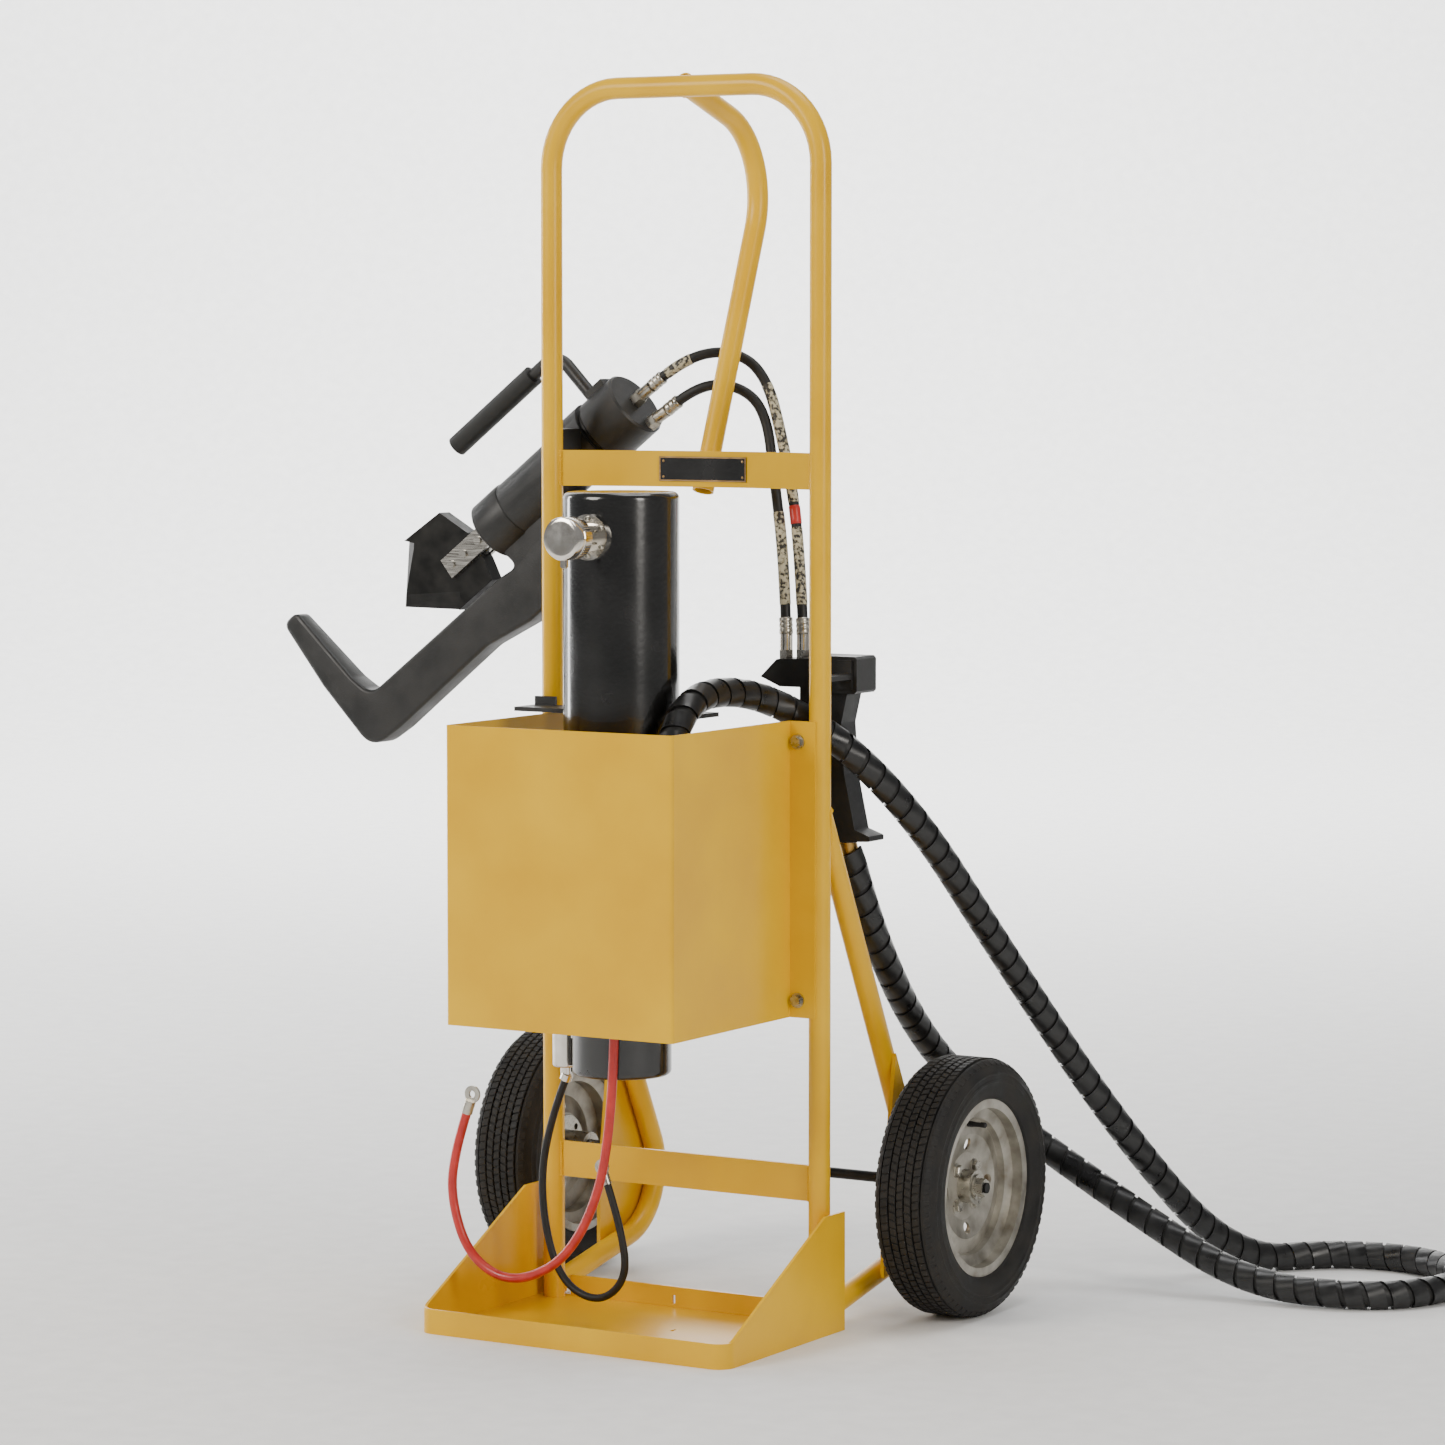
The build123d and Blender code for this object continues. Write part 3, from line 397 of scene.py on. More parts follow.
# ---------------------------------------------------------------- cords
def route_curve(name, points, diameter, material):
    """A cord: one smooth spline whose control points are the route's points."""
    data = bpy.data.curves.new(name, "CURVE")
    data.dimensions = "3D"
    spline = data.splines.new("NURBS")
    spline.points.add(len(points) - 1)
    for point, place in zip(spline.points, points):
        point.co = (*place, 1)
    spline.order_u = 3
    spline.use_endpoint_u = True
    data.resolution_u = 24
    data.bevel_depth = diameter / 2
    data.bevel_resolution = 6
    data.use_fill_caps = True
    data.materials.append(material)
    return linked(name, data)


def line_of(piece):
    """The points of a cord's centreline, read from its spline."""
    bare = piece.copy()
    bare.data = piece.data.copy()
    bare.data.bevel_depth = 0
    mesh = bpy.data.meshes.new_from_object(bare)
    points = [v.co.copy() for v in mesh.vertices]
    bpy.data.meshes.remove(mesh)
    bpy.data.objects.remove(bare)
    return points


def length_of(points):
    """The length of a line through points."""
    return sum((b - a).length for a, b in zip(points, points[1:]))


BUNDLE_ROUTE = [
    (0.100, -0.225, 0.525), (0.088, -0.200, 0.728), (0.098, -0.015, 0.752),
    (0.235, 0.075, 0.640), (0.290, 0.290, 0.385), (0.362, 0.418, 0.190),
    (0.445, 0.560, 0.017), (0.541, 0.675, 0.017), (0.649, 0.684, 0.017),
    (0.732, 0.615, 0.017), (0.742, 0.506, 0.017), (0.672, 0.423, 0.017),
    (0.535, 0.408, 0.022), (0.400, 0.405, 0.090), (0.215, 0.390, 0.200),
    (0.178, 0.260, 0.300), (0.182, 0.118, 0.455), (0.171, 0.092, 0.545)]
UPPER_HOSE_ROUTE = [
    (-0.104, 0.095, 1.089), (-0.062, 0.095, 1.122), (-0.012, 0.124, 1.134),
    (0.030, 0.136, 1.106), (0.062, 0.124, 1.020), (0.092, 0.108, 0.920), (0.107, 0.092, 0.800)]
LOWER_HOSE_ROUTE = [
    (-0.082, 0.095, 1.061), (-0.043, 0.095, 1.091), (0.003, 0.116, 1.092),
    (0.036, 0.126, 1.062), (0.056, 0.112, 0.980), (0.076, 0.100, 0.890), (0.084, 0.092, 0.800)]
RED_ROUTE = [
    (0.030, -0.200, 0.420), (0.030, -0.200, 0.240), (-0.020, -0.200, 0.105),
    (-0.105, -0.200, 0.056), (-0.170, -0.200, 0.082), (-0.196, -0.200, 0.150),
    (-0.190, -0.200, 0.205), (-0.173, -0.200, 0.252)]
BLACK_ROUTE = [
    (-0.080, -0.133, 0.290), (-0.113, -0.124, 0.225), (-0.124, -0.120, 0.140),
    (-0.100, -0.120, 0.052), (-0.045, -0.120, 0.027), (-0.004, -0.120, 0.060),
    (-0.012, -0.120, 0.118), (-0.031, -0.120, 0.169)]


def add_cord(name, node, points, diameter, material):
    """A cord that stands for its CAD tube and rides on the cart. Returns it and its line."""
    piece = route_curve(name, points, diameter, material)
    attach(piece, "cart")
    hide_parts(node)
    return piece, line_of(piece)


bundle, bundle_line = add_cord("bundle_core", "wrapped_hose", BUNDLE_ROUTE, 0.0285, HOSE)
upper, upper_line = add_cord("upper_thin_hose", "upper_hose", UPPER_HOSE_ROUTE, 0.0125, HOSE)
lower, lower_line = add_cord("lower_thin_hose", "lower_hose", LOWER_HOSE_ROUTE, 0.0125, HOSE)
red, red_line = add_cord("red_battery_cable", "red_cable", RED_ROUTE, 0.011, RED)
black, black_line = add_cord("black_battery_cable", "black_cable", BLACK_ROUTE, 0.009, HOSE)


# ---------------------------------------------------------------- mesh building
def piece_from(name, mesh, materials, body, stands_for=()):
    """Link a mesh as a piece that rides on a body and may stand for CAD nodes."""
    if materials:
        mesh.materials.clear()
        for material in materials:
            mesh.materials.append(material)
    piece = linked(name, mesh)
    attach(piece, body)
    if stands_for:
        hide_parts(*stands_for)
    return piece


def smooth(mesh):
    """Shade every face of a mesh smooth."""
    mesh.polygons.foreach_set("use_smooth", [True] * len(mesh.polygons))
    return mesh


def smooth_mesh(bm, name):
    """A smooth-shaded mesh from a bmesh, which is freed."""
    mesh = bpy.data.meshes.new(name)
    bm.to_mesh(mesh)
    bm.free()
    return smooth(mesh)


def mesh_of(bm, name, sharp=35):
    """A smooth-shaded mesh, its doubles merged, its faces outwards and its edges sharp."""
    bmesh.ops.remove_doubles(bm, verts=bm.verts, dist=1e-6)
    bmesh.ops.recalc_face_normals(bm, faces=bm.faces)
    mesh = smooth_mesh(bm, name)
    mesh.set_sharp_from_angle(angle=math.radians(sharp))
    return mesh


def lathe(name, profile, steps, sharp=35):
    """Turn a closed outline of (along X, radius) points, in mm, about the X axis."""
    bm = bmesh.new()
    rings = []
    for along, radius in profile:
        ring = []
        for k in range(steps):
            a = TAU * k / steps
            ring.append(bm.verts.new((along * MM, -radius * MM * math.sin(a),
                                      radius * MM * math.cos(a))))
        rings.append(ring)
    for one, two in zip(rings, rings[1:] + rings[:1]):
        for k in range(steps):
            bm.faces.new([one[k], one[(k + 1) % steps], two[(k + 1) % steps], two[k]])
    return mesh_of(bm, name, sharp)


def plate(name, outline, place, thickness, bevel, steps):
    """A plate from a 2D outline in mm, its rim bevelled. place(u, v, w) gives each point."""
    bm = bmesh.new()
    half = thickness / 2
    low = [bm.verts.new((u, v, -half)) for u, v in outline]
    high = [bm.verts.new((u, v, half)) for u, v in outline]
    bm.faces.new(low)
    bm.faces.new(list(reversed(high)))
    for k in range(len(outline)):
        n = (k + 1) % len(outline)
        bm.faces.new([low[k], high[k], high[n], low[n]])
    bmesh.ops.recalc_face_normals(bm, faces=bm.faces)
    rim = [e for e in bm.edges if e.verts[0].co.z == e.verts[1].co.z]
    bmesh.ops.bevel(bm, geom=rim, offset=bevel, segments=steps, profile=0.5, affect="EDGES")
    bmesh.ops.triangulate(bm, faces=[f for f in bm.faces if len(f.verts) > 4],
                          ngon_method="EAR_CLIP")
    for vert in bm.verts:
        vert.co = place(*vert.co)
    return mesh_of(bm, name, 40)


def rounded(outline, radii, steps):
    """An outline with its corners rounded, each by its own radius in mm, where there is room."""
    points = []
    count = len(outline)
    for k in range(count):
        here = Vector(outline[k])
        back = Vector(outline[k - 1]) - here
        ahead = Vector(outline[(k + 1) % count]) - here
        angle = back.angle(ahead)
        if radii[k] <= 0 or angle > 3.1:
            points.append(tuple(here))
            continue
        reach = min(radii[k] / math.tan(angle / 2), 0.49 * back.length, 0.49 * ahead.length)
        start = here + back.normalized() * reach
        end = here + ahead.normalized() * reach
        for s in range(steps + 1):
            t = s / steps
            spot = start * (1 - t) ** 2 + here * 2 * t * (1 - t) + end * t ** 2
            points.append(tuple(spot))
    return points


# ---------------------------------------------------------------- geometry trees
BLANK = bpy.data.meshes.new("blank")


def new_tree(name, sockets):
    """A geometry tree with a Mesh input, the named inputs and a Geometry output."""
    tree = bpy.data.node_groups.new(name, "GeometryNodeTree")
    tree.interface.new_socket("Mesh", in_out="INPUT", socket_type="NodeSocketGeometry")
    for label, kind in sockets:
        tree.interface.new_socket(label, in_out="INPUT", socket_type="NodeSocket" + kind)
    tree.interface.new_socket("Geometry", in_out="OUTPUT", socket_type="NodeSocketGeometry")
    given = add(tree, "NodeGroupInput").outputs
    return tree, given


def close_tree(tree, geometry, material):
    """Realize the instances, set the material and join the output."""
    solid = add(tree, "GeometryNodeRealizeInstances", {"Geometry": geometry})
    dressed = add(tree, "GeometryNodeSetMaterial", {"Geometry": solid.outputs["Geometry"],
                                                    "Material": material})
    add(tree, "NodeGroupOutput", {"Geometry": dressed.outputs["Geometry"]})


def grown(name, mesh, tree, values, sharp=35):
    """The plain mesh that a geometry tree makes from a mesh and its input values."""
    source = linked(name, mesh)
    modifier = source.modifiers.new("grow", "NODES")
    modifier.node_group = tree
    for item in tree.interface.items_tree:
        if item.in_out == "INPUT" and item.name in values:
            modifier[item.identifier] = values[item.name]
    graph = bpy.context.evaluated_depsgraph_get()
    made = bpy.data.meshes.new_from_object(source.evaluated_get(graph), depsgraph=graph)
    bpy.data.objects.remove(source)
    made.name = name
    smooth(made)
    made.set_sharp_from_angle(angle=math.radians(sharp))
    return made


def polyline(name, points, closed=False):
    """A mesh of edges only, through the given points."""
    mesh = bpy.data.meshes.new(name)
    edges = [(k, k + 1) for k in range(len(points) - 1)]
    if closed:
        edges.append((len(points) - 1, 0))
    mesh.from_pydata([tuple(p) for p in points], edges, [])
    return mesh


def wrap_tree(material):
    """A flat band wound as a helix round the line it is given."""
    tree, given = new_tree("spiral_wrap", [("Radius", "Float"), ("Pitch", "Float"),
                                           ("Band", "Float"), ("Thickness", "Float"),
                                           ("Step", "Float")])
    line = add(tree, "GeometryNodeMeshToCurve", {"Mesh": given["Mesh"]})
    fine = add(tree, "GeometryNodeResampleCurve", mode="LENGTH")
    tree.links.new(line.outputs["Curve"], fine.inputs["Curve"])
    tree.links.new(given["Step"], fine.inputs["Length"])
    along = add(tree, "GeometryNodeSplineParameter").outputs["Length"]
    turns = add(tree, "ShaderNodeMath", {0: along, 1: given["Pitch"]}, operation="DIVIDE")
    angle = add(tree, "ShaderNodeMath", {0: turns.outputs[0], 1: TAU}, operation="MULTIPLY")
    normal = add(tree, "GeometryNodeInputNormal").outputs["Normal"]
    tangent = add(tree, "GeometryNodeInputTangent").outputs["Tangent"]
    outward = add(tree, "ShaderNodeVectorRotate", {"Vector": normal, "Axis": tangent,
                                                   "Angle": angle.outputs[0]})
    kept = add(tree, "GeometryNodeStoreNamedAttribute", data_type="FLOAT_VECTOR")
    tree.links.new(fine.outputs["Curve"], kept.inputs["Geometry"])
    kept.inputs["Name"].default_value = "outward"
    tree.links.new(outward.outputs["Vector"], kept.inputs["Value"])
    named = add(tree, "GeometryNodeInputNamedAttribute", data_type="FLOAT_VECTOR")
    named.inputs["Name"].default_value = "outward"
    shift = add(tree, "ShaderNodeVectorMath", operation="SCALE")
    tree.links.new(named.outputs["Attribute"], shift.inputs[0])
    tree.links.new(given["Radius"], shift.inputs["Scale"])
    helix = add(tree, "GeometryNodeSetPosition", {"Geometry": kept.outputs["Geometry"],
                                                  "Offset": shift.outputs["Vector"]})
    faced = add(tree, "GeometryNodeSetCurveNormal", mode="FREE")
    tree.links.new(helix.outputs["Geometry"], faced.inputs["Curve"])
    tree.links.new(named.outputs["Attribute"], faced.inputs["Normal"])
    strip = add(tree, "GeometryNodeCurvePrimitiveQuadrilateral", {"Width": given["Thickness"],
                                                                  "Height": given["Band"]})
    band = add(tree, "GeometryNodeCurveToMesh", {"Curve": faced.outputs["Curve"],
                                                 "Profile Curve": strip.outputs["Curve"],
                                                 "Fill Caps": True})
    close_tree(tree, band.outputs["Mesh"], material)
    return tree


def ring_tree(name, material):
    """Copies of an object in a ring about X, each with its Z outwards."""
    tree, given = new_tree(name, [("Count", "Int"), ("Radius", "Float"), ("Turn", "Float"),
                                  ("Object", "Object")])
    points = add(tree, "GeometryNodePoints", {"Count": given["Count"]})
    index = add(tree, "GeometryNodeInputIndex").outputs["Index"]
    part = add(tree, "ShaderNodeMath", {0: index, 1: given["Count"]}, operation="DIVIDE")
    angle = add(tree, "ShaderNodeMath", {0: part.outputs[0], 1: TAU, 2: given["Turn"]},
                operation="MULTIPLY_ADD")
    turned = add(tree, "ShaderNodeCombineXYZ", {"X": angle.outputs[0]})
    up = add(tree, "ShaderNodeCombineXYZ", {"Z": given["Radius"]})
    place = add(tree, "ShaderNodeVectorRotate", {"Vector": up.outputs[0]},
                rotation_type="EULER_XYZ")
    tree.links.new(turned.outputs[0], place.inputs["Rotation"])
    moved = add(tree, "GeometryNodeSetPosition", {"Geometry": points.outputs[0],
                                                  "Position": place.outputs[0]})
    item = add(tree, "GeometryNodeObjectInfo", {"Object": given["Object"]})
    copies = add(tree, "GeometryNodeInstanceOnPoints", {
        "Points": moved.outputs["Geometry"], "Instance": item.outputs["Geometry"],
        "Rotation": turned.outputs[0]})
    close_tree(tree, copies.outputs["Instances"], material)
    return tree


def bead_tree(name, material):
    """Ripples of a weld along the line it is given, uneven by a fixed seed."""
    tree, given = new_tree(name, [("Spacing", "Float"), ("Size", "Float"), ("Seed", "Int"),
                                  ("Object", "Object")])
    line = add(tree, "GeometryNodeMeshToCurve", {"Mesh": given["Mesh"]})
    points = add(tree, "GeometryNodeCurveToPoints", mode="LENGTH")
    tree.links.new(line.outputs["Curve"], points.inputs["Curve"])
    tree.links.new(given["Spacing"], points.inputs["Length"])
    low = add(tree, "ShaderNodeMath", {0: given["Size"], 1: 0.82}, operation="MULTIPLY")
    high = add(tree, "ShaderNodeMath", {0: given["Size"], 1: 1.15}, operation="MULTIPLY")
    spread = add(tree, "FunctionNodeRandomValue", {2: low.outputs[0], 3: high.outputs[0],
                                                   "Seed": given["Seed"]}, data_type="FLOAT")
    item = add(tree, "GeometryNodeObjectInfo", {"Object": given["Object"]})
    copies = add(tree, "GeometryNodeInstanceOnPoints", {
        "Points": points.outputs["Points"], "Instance": item.outputs["Geometry"],
        "Rotation": points.outputs["Rotation"], "Scale": spread.outputs[1]})
    close_tree(tree, copies.outputs["Instances"], material)
    return tree


def stamp(name, mesh):
    """An unlinked object that a geometry tree copies."""
    return bpy.data.objects.new(name, mesh)


# ---------------------------------------------------------------- wrapped hose
def bundle_wrap():
    """Spiral wrap round the hose bundle, with the core showing in its gaps."""
    pitch, samples_per_turn = 0.0255, 18
    mesh = grown("bundle_wrap", polyline("bundle_line", bundle_line), wrap_tree(WRAP),
                 {"Radius": 0.01555, "Pitch": pitch, "Band": 0.0205, "Thickness": 0.0024,
                  "Step": pitch / samples_per_turn}, sharp=50)
    return piece_from("bundle_wrap", mesh, None, "cart")


def sleeve(name, line, spots, material):
    """A sleeve along a line: spots are (distance, radius) pairs in mm from the line's start."""
    data = bpy.data.curves.new(name, "CURVE")
    data.dimensions = "3D"
    spline = data.splines.new("POLY")
    spline.points.add(len(spots) - 1)
    for point, (distance, radius) in zip(spline.points, spots):
        point.co = (*point_at(line, distance * MM), 1)
        point.radius = radius * MM
    data.bevel_depth = 1.0
    data.bevel_resolution = 5
    data.use_fill_caps = True
    data.materials.append(material)
    piece = linked(name, data)
    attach(piece, "cart")
    return piece


def point_at(line, distance):
    """The point at a distance along a line."""
    for a, b in zip(line, line[1:]):
        step = (b - a).length
        if distance <= step:
            return a.lerp(b, distance / step)
        distance -= step
    return line[-1]


def plain_sleeve(name, line, start, stop, radius, material):
    """A sleeve of one thickness with softened ends."""
    steps = max(3, round((stop - start) / 6))
    spots = [(start, radius - 0.5), (start + 0.6, radius)]
    spots += [(start + (stop - start) * k / steps, radius) for k in range(1, steps)]
    spots += [(stop - 0.6, radius), (stop, radius - 0.5)]
    return sleeve(name, line, spots, material)


def crimp(name, line, start, way):
    """A pressed ferrule with three rings, from a hose's end inwards."""
    shape = [(0, 6.9), (0.8, 8.2), (6, 8.2), (6.8, 7.7), (8.6, 7.7), (9.4, 8.2), (12, 8.2),
             (12.8, 7.7), (14.6, 7.7), (15.4, 8.2), (19.2, 8.2), (20, 7.2)]
    spots = [(start + way * d, r) for d, r in shape]
    return sleeve(name, line, spots, ZINC)


# ---------------------------------------------------------------- wheels
def tread_block(name, width, length, height, skew):
    """One tread block, its Z outwards, narrowed at the top and skewed along its length."""
    bm = bmesh.new()
    rows = []
    for z, shrink in ((-1.2, 0.0), (height, 0.35)):
        w = width / 2 - shrink
        h = length / 2 - shrink
        corners = [(-w, -h - skew), (w, -h + skew), (w, h + skew), (-w, h - skew)]
        rows.append([bm.verts.new((x * MM, y * MM, z * MM)) for x, y in corners])
    bm.faces.new(rows[0])
    bm.faces.new(rows[1])
    for k in range(4):
        bm.faces.new([rows[0][k], rows[0][(k + 1) % 4], rows[1][(k + 1) % 4], rows[1][k]])
    bmesh.ops.recalc_face_normals(bm, faces=bm.faces)
    top = [e for e in bm.edges if all(v.co.z > 0 for v in e.verts)]
    bmesh.ops.bevel(bm, geom=top, offset=0.5 * MM, segments=1, affect="EDGES")
    return mesh_of(bm, name, 30)


def tyre_casing(name):
    """Tyre body: beads, bulged sidewalls with guard ribs, and a grooved crown."""
    half = [(28.3, 97.1), (28.3, 103.7), (31, 104.3), (34.5, 106), (37, 110), (38.8, 115.5),
            (39.6, 120), (40, 124), (40.6, 125), (40.6, 127.4), (39.9, 128.4), (39.5, 133),
            (40.0, 134), (40.0, 135.6), (39.0, 136.8), (37.6, 140.5), (35.5, 144.4),
            (33, 147.6), (30.5, 149.8)]
    outer = half
    for groove in (26.2, 15.2, 4.9):
        outer += [(groove + 1.0, 150.9), (groove + 0.7, 148.6),
                  (groove - 0.7, 148.6), (groove - 1.0, 151.0)]
    mirror = [(-a, r) for a, r in reversed(outer)]
    inner = [(-21.3, 97.1), (-21.3, 103), (-31, 112), (-32, 130), (-26, 143.5),
             (26, 143.5), (32, 130), (31, 112), (21.3, 103), (21.3, 97.1)]
    return lathe(name, outer + mirror + inner, steps=144, sharp=28)


def wheel_detail(side_name, side):
    """Tyre with its tread, rolled rim edge, lug bolts and valve stem."""
    body = side_name + "_wheel"
    low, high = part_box(side_name + "_tyre")
    centre = (Vector(low) + Vector(high)) / 2
    move = Matrix.Translation(centre)

    def placed(mesh):
        mesh.transform(move)
        return mesh

    piece_from(side_name + "_tyre_casing", placed(tyre_casing("casing")), [TYRE], body,
               [side_name + "_tyre"])
    tree = ring_tree("tread_ring", TYRE)
    # Each row: place along the axle, block width and length, turn in blocks, skew.
    rows = [(0, 8.6, 8.3, 0.0, 1.1), (10, 8.6, 8.3, 0.5, -1.1), (-10, 8.6, 8.3, 0.5, -1.1),
            (20.6, 9.4, 8.3, 0.0, 1.1), (-20.6, 9.4, 8.3, 0.0, 1.1)]
    count, tread_radius, tread_height = 100, 150.6, 1.9
    lug_count, shoulder_radius, shoulder_offset = 72, 147.4, 32.0
    bm = bmesh.new()
    for along, width, length, turn, skew in rows:
        item = stamp("tread_block", tread_block("tread_block", width, length, tread_height, skew))
        made = grown("tread_row", BLANK, tree, {"Count": count, "Radius": tread_radius * MM,
                                                "Turn": turn * TAU / count, "Object": item})
        made.transform(Matrix.Translation((along * MM, 0, 0)))
        bm.from_mesh(made)
    for sign in (-1, 1):
        lug = tread_block("shoulder_lug", 8.5, 8.6, 1.2, 0.8)
        lug.transform(Matrix.Rotation(sign * math.radians(38), 4, "Y"))
        item = stamp("shoulder_lug", lug)
        made = grown("shoulder_row", BLANK, tree, {"Count": lug_count, "Turn": 0.02,
                                                   "Radius": shoulder_radius * MM,
                                                   "Object": item})
        made.transform(Matrix.Translation((sign * shoulder_offset * MM, 0, 0)))
        bm.from_mesh(made)
    piece_from(side_name + "_tread", placed(mesh_of(bm, "tread", 30)), [TYRE], body)

    roll = [(31.2, 103.2), (31.4, 104.6), (30.4, 105.6), (29.0, 105.4), (28.4, 104.2),
            (28.6, 102.9), (29.8, 102.2)]
    roll = [(side * a, r) for a, r in roll]
    piece_from(side_name + "_rim_roll", placed(lathe("rim_roll", roll, 120)), [SILVER], body)
    bolt = lug_bolt(side)
    made = grown("lug_bolts", BLANK, ring_tree("bolt_ring", ZINC),
                 {"Count": 4, "Radius": 30 * MM, "Turn": math.radians(45), "Object": bolt})
    made.transform(Matrix.Translation((side * 4.05 * MM, 0, 0)))
    piece_from(side_name + "_lug_bolts", placed(made), None, body)
    stem = [(0, 0.01), (0, 3.4), (4, 3.6), (9, 3.0), (17, 2.6), (17.2, 3.2), (23, 3.2), (24, 2.2),
            (24, 0.01)]
    mesh = lathe("valve_stem", [(side * a, r) for a, r in stem], 24)
    mesh.transform(Matrix.Translation((side * 8 * MM, 0, 74 * MM)))
    piece_from(side_name + "_valve_stem", placed(mesh), [HOSE], body)


def lug_bolt(side):
    """A hexagon head on a washer, its length along X."""
    bm = bmesh.new()
    washer = lathe("washer", [(0, 0.01), (0, 8.4), (1.4, 8.4), (1.6, 8.0), (1.6, 0.01)], 32)
    bm.from_mesh(washer)
    head = [(1.6, 0.01), (1.6, 7.0), (5.6, 7.0), (6.5, 6.0), (6.7, 0.01)]
    bm.from_mesh(lathe("hexagon", head, 6, 20))
    if side < 0:
        bmesh.ops.scale(bm, vec=(-1, 1, 1), verts=bm.verts)
    return stamp("lug_bolt", mesh_of(bm, "lug_bolt", 25))


# ---------------------------------------------------------------- filler
def box(size, bevel, segments, place=(0, 0, 0)):
    """A bevelled block of the given size, in mm, centred on a place."""
    bm = bmesh.new()
    bmesh.ops.create_cube(bm, size=1.0)
    bmesh.ops.scale(bm, vec=[side * MM for side in size], verts=bm.verts)
    bmesh.ops.translate(bm, vec=[way * MM for way in place], verts=bm.verts)
    bmesh.ops.bevel(bm, geom=bm.edges[:], offset=bevel * MM, segments=segments, affect="EDGES")
    return mesh_of(bm, "box")


def facing_front(node):
    """Turn X to the front, with the origin where a node of the filler ends at the rear."""
    _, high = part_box(node)
    place = Matrix.Translation((0, high[1], FILLER_HEIGHT * MM))
    return place @ Matrix.Rotation(math.radians(-90), 4, "Z")


def filler_detail():
    """Knurled breather cap and six socket screws, made along X and turned to the front."""
    cap = [(0, 16.1), (0, 22.6), (1.0, 23.6), (15, 23.6), (16.0, 22.8), (17.0, 22.8), (18, 24.4),
           (27.4, 24.4), (28.9, 23.6), (29.8, 21.6), (30, 18), (30, 0.01), (18, 0.01), (18, 16.1)]
    bm = bmesh.new()
    bm.from_mesh(lathe("cap", cap, 96))
    item = stamp("rib", box((11, 1.1, 0.9), 0.2, 1))
    ribs = grown("ribs", BLANK, ring_tree("knurl_ring", CHROME),
                 {"Count": 48, "Radius": 23.6 * MM, "Turn": 0.0, "Object": item})
    ribs.transform(Matrix.Translation((8 * MM, 0, 0)))
    bm.from_mesh(ribs)
    bm.from_mesh(box((5.6, 9, 12), 1.2, 2, (22.6, 0, -27)))
    mesh = mesh_of(bm, "filler_cap_knurled")
    mesh.transform(facing_front("filler_cap"))
    piece_from("filler_cap_knurled", mesh, [CHROME], "filler_cap", ["filler_cap"])

    screw = [(0, 0.01), (0, 2.7), (2.4, 2.7), (2.9, 2.3), (2.9, 1.3), (1.0, 1.2), (1.0, 0.01)]
    item = stamp("socket_screw", lathe("socket_screw", screw, 18, 25))
    mesh = grown("flange_screws", BLANK, ring_tree("screw_ring", ZINC),
                 {"Count": 6, "Radius": 21 * MM, "Turn": 0.0, "Object": item})
    mesh.transform(facing_front("filler_screws"))
    piece_from("flange_screws", mesh, None, "cart", ["filler_screws"])


# ---------------------------------------------------------------- cutter
def at(u, n, side=0.0):
    """Cutter frame to cart frame, in mm: u back along the ram, n below it, side to the rear."""
    x, y, z = CUTTER_ORIGIN
    return Vector(((x + u * math.cos(RISE) + n * math.sin(RISE)) * MM, (y + side) * MM,
                   (z + u * math.sin(RISE) - n * math.cos(RISE)) * MM))


def forged_hook():
    """The hook and its beam as one forging, thinner and rounder towards the tip."""
    outline = [(-22, 54), (-262, 54), (-274, 20), (-295, -95), (-321, -95), (-317, 3), (-304, 108),
               (-254, 112), (-86, 109), (-18, 122), (70, 122), (130, 60), (130, 39), (45, 0),
               (45, -20), (0, -20), (0, 24), (8, 58)]
    radii = [6, 22, 40, 12, 12, 40, 44, 60, 60, 40, 24, 12, 8, 6, 8, 8, 14, 8]

    throat_u, taper_from, taper_length, taper = -255, 40, 110, 0.34

    def place(u, n, w):
        slim = min(1.0, max(0.0, (taper_from - n) / taper_length)) if u < throat_u else 0.0
        return at(u, n, w * (1 - taper * slim))

    bm = bmesh.new()
    bm.from_mesh(plate("hook", rounded(outline, radii, 8), place, 38, 5.0, 4))
    collar = lathe("collar", [(0, 15), (0, 36), (3, 39.5), (44, 39.5), (47, 38.6), (47, 15)], 96)
    collar.transform(Matrix.Translation(at(-2, 0)) @ Matrix.Rotation(-RISE, 4, "Y"))
    bm.from_mesh(collar)
    piece_from("forged_hook", mesh_of(bm, "forged_hook", 40), [SATIN], "cart",
               ["hook_body"])


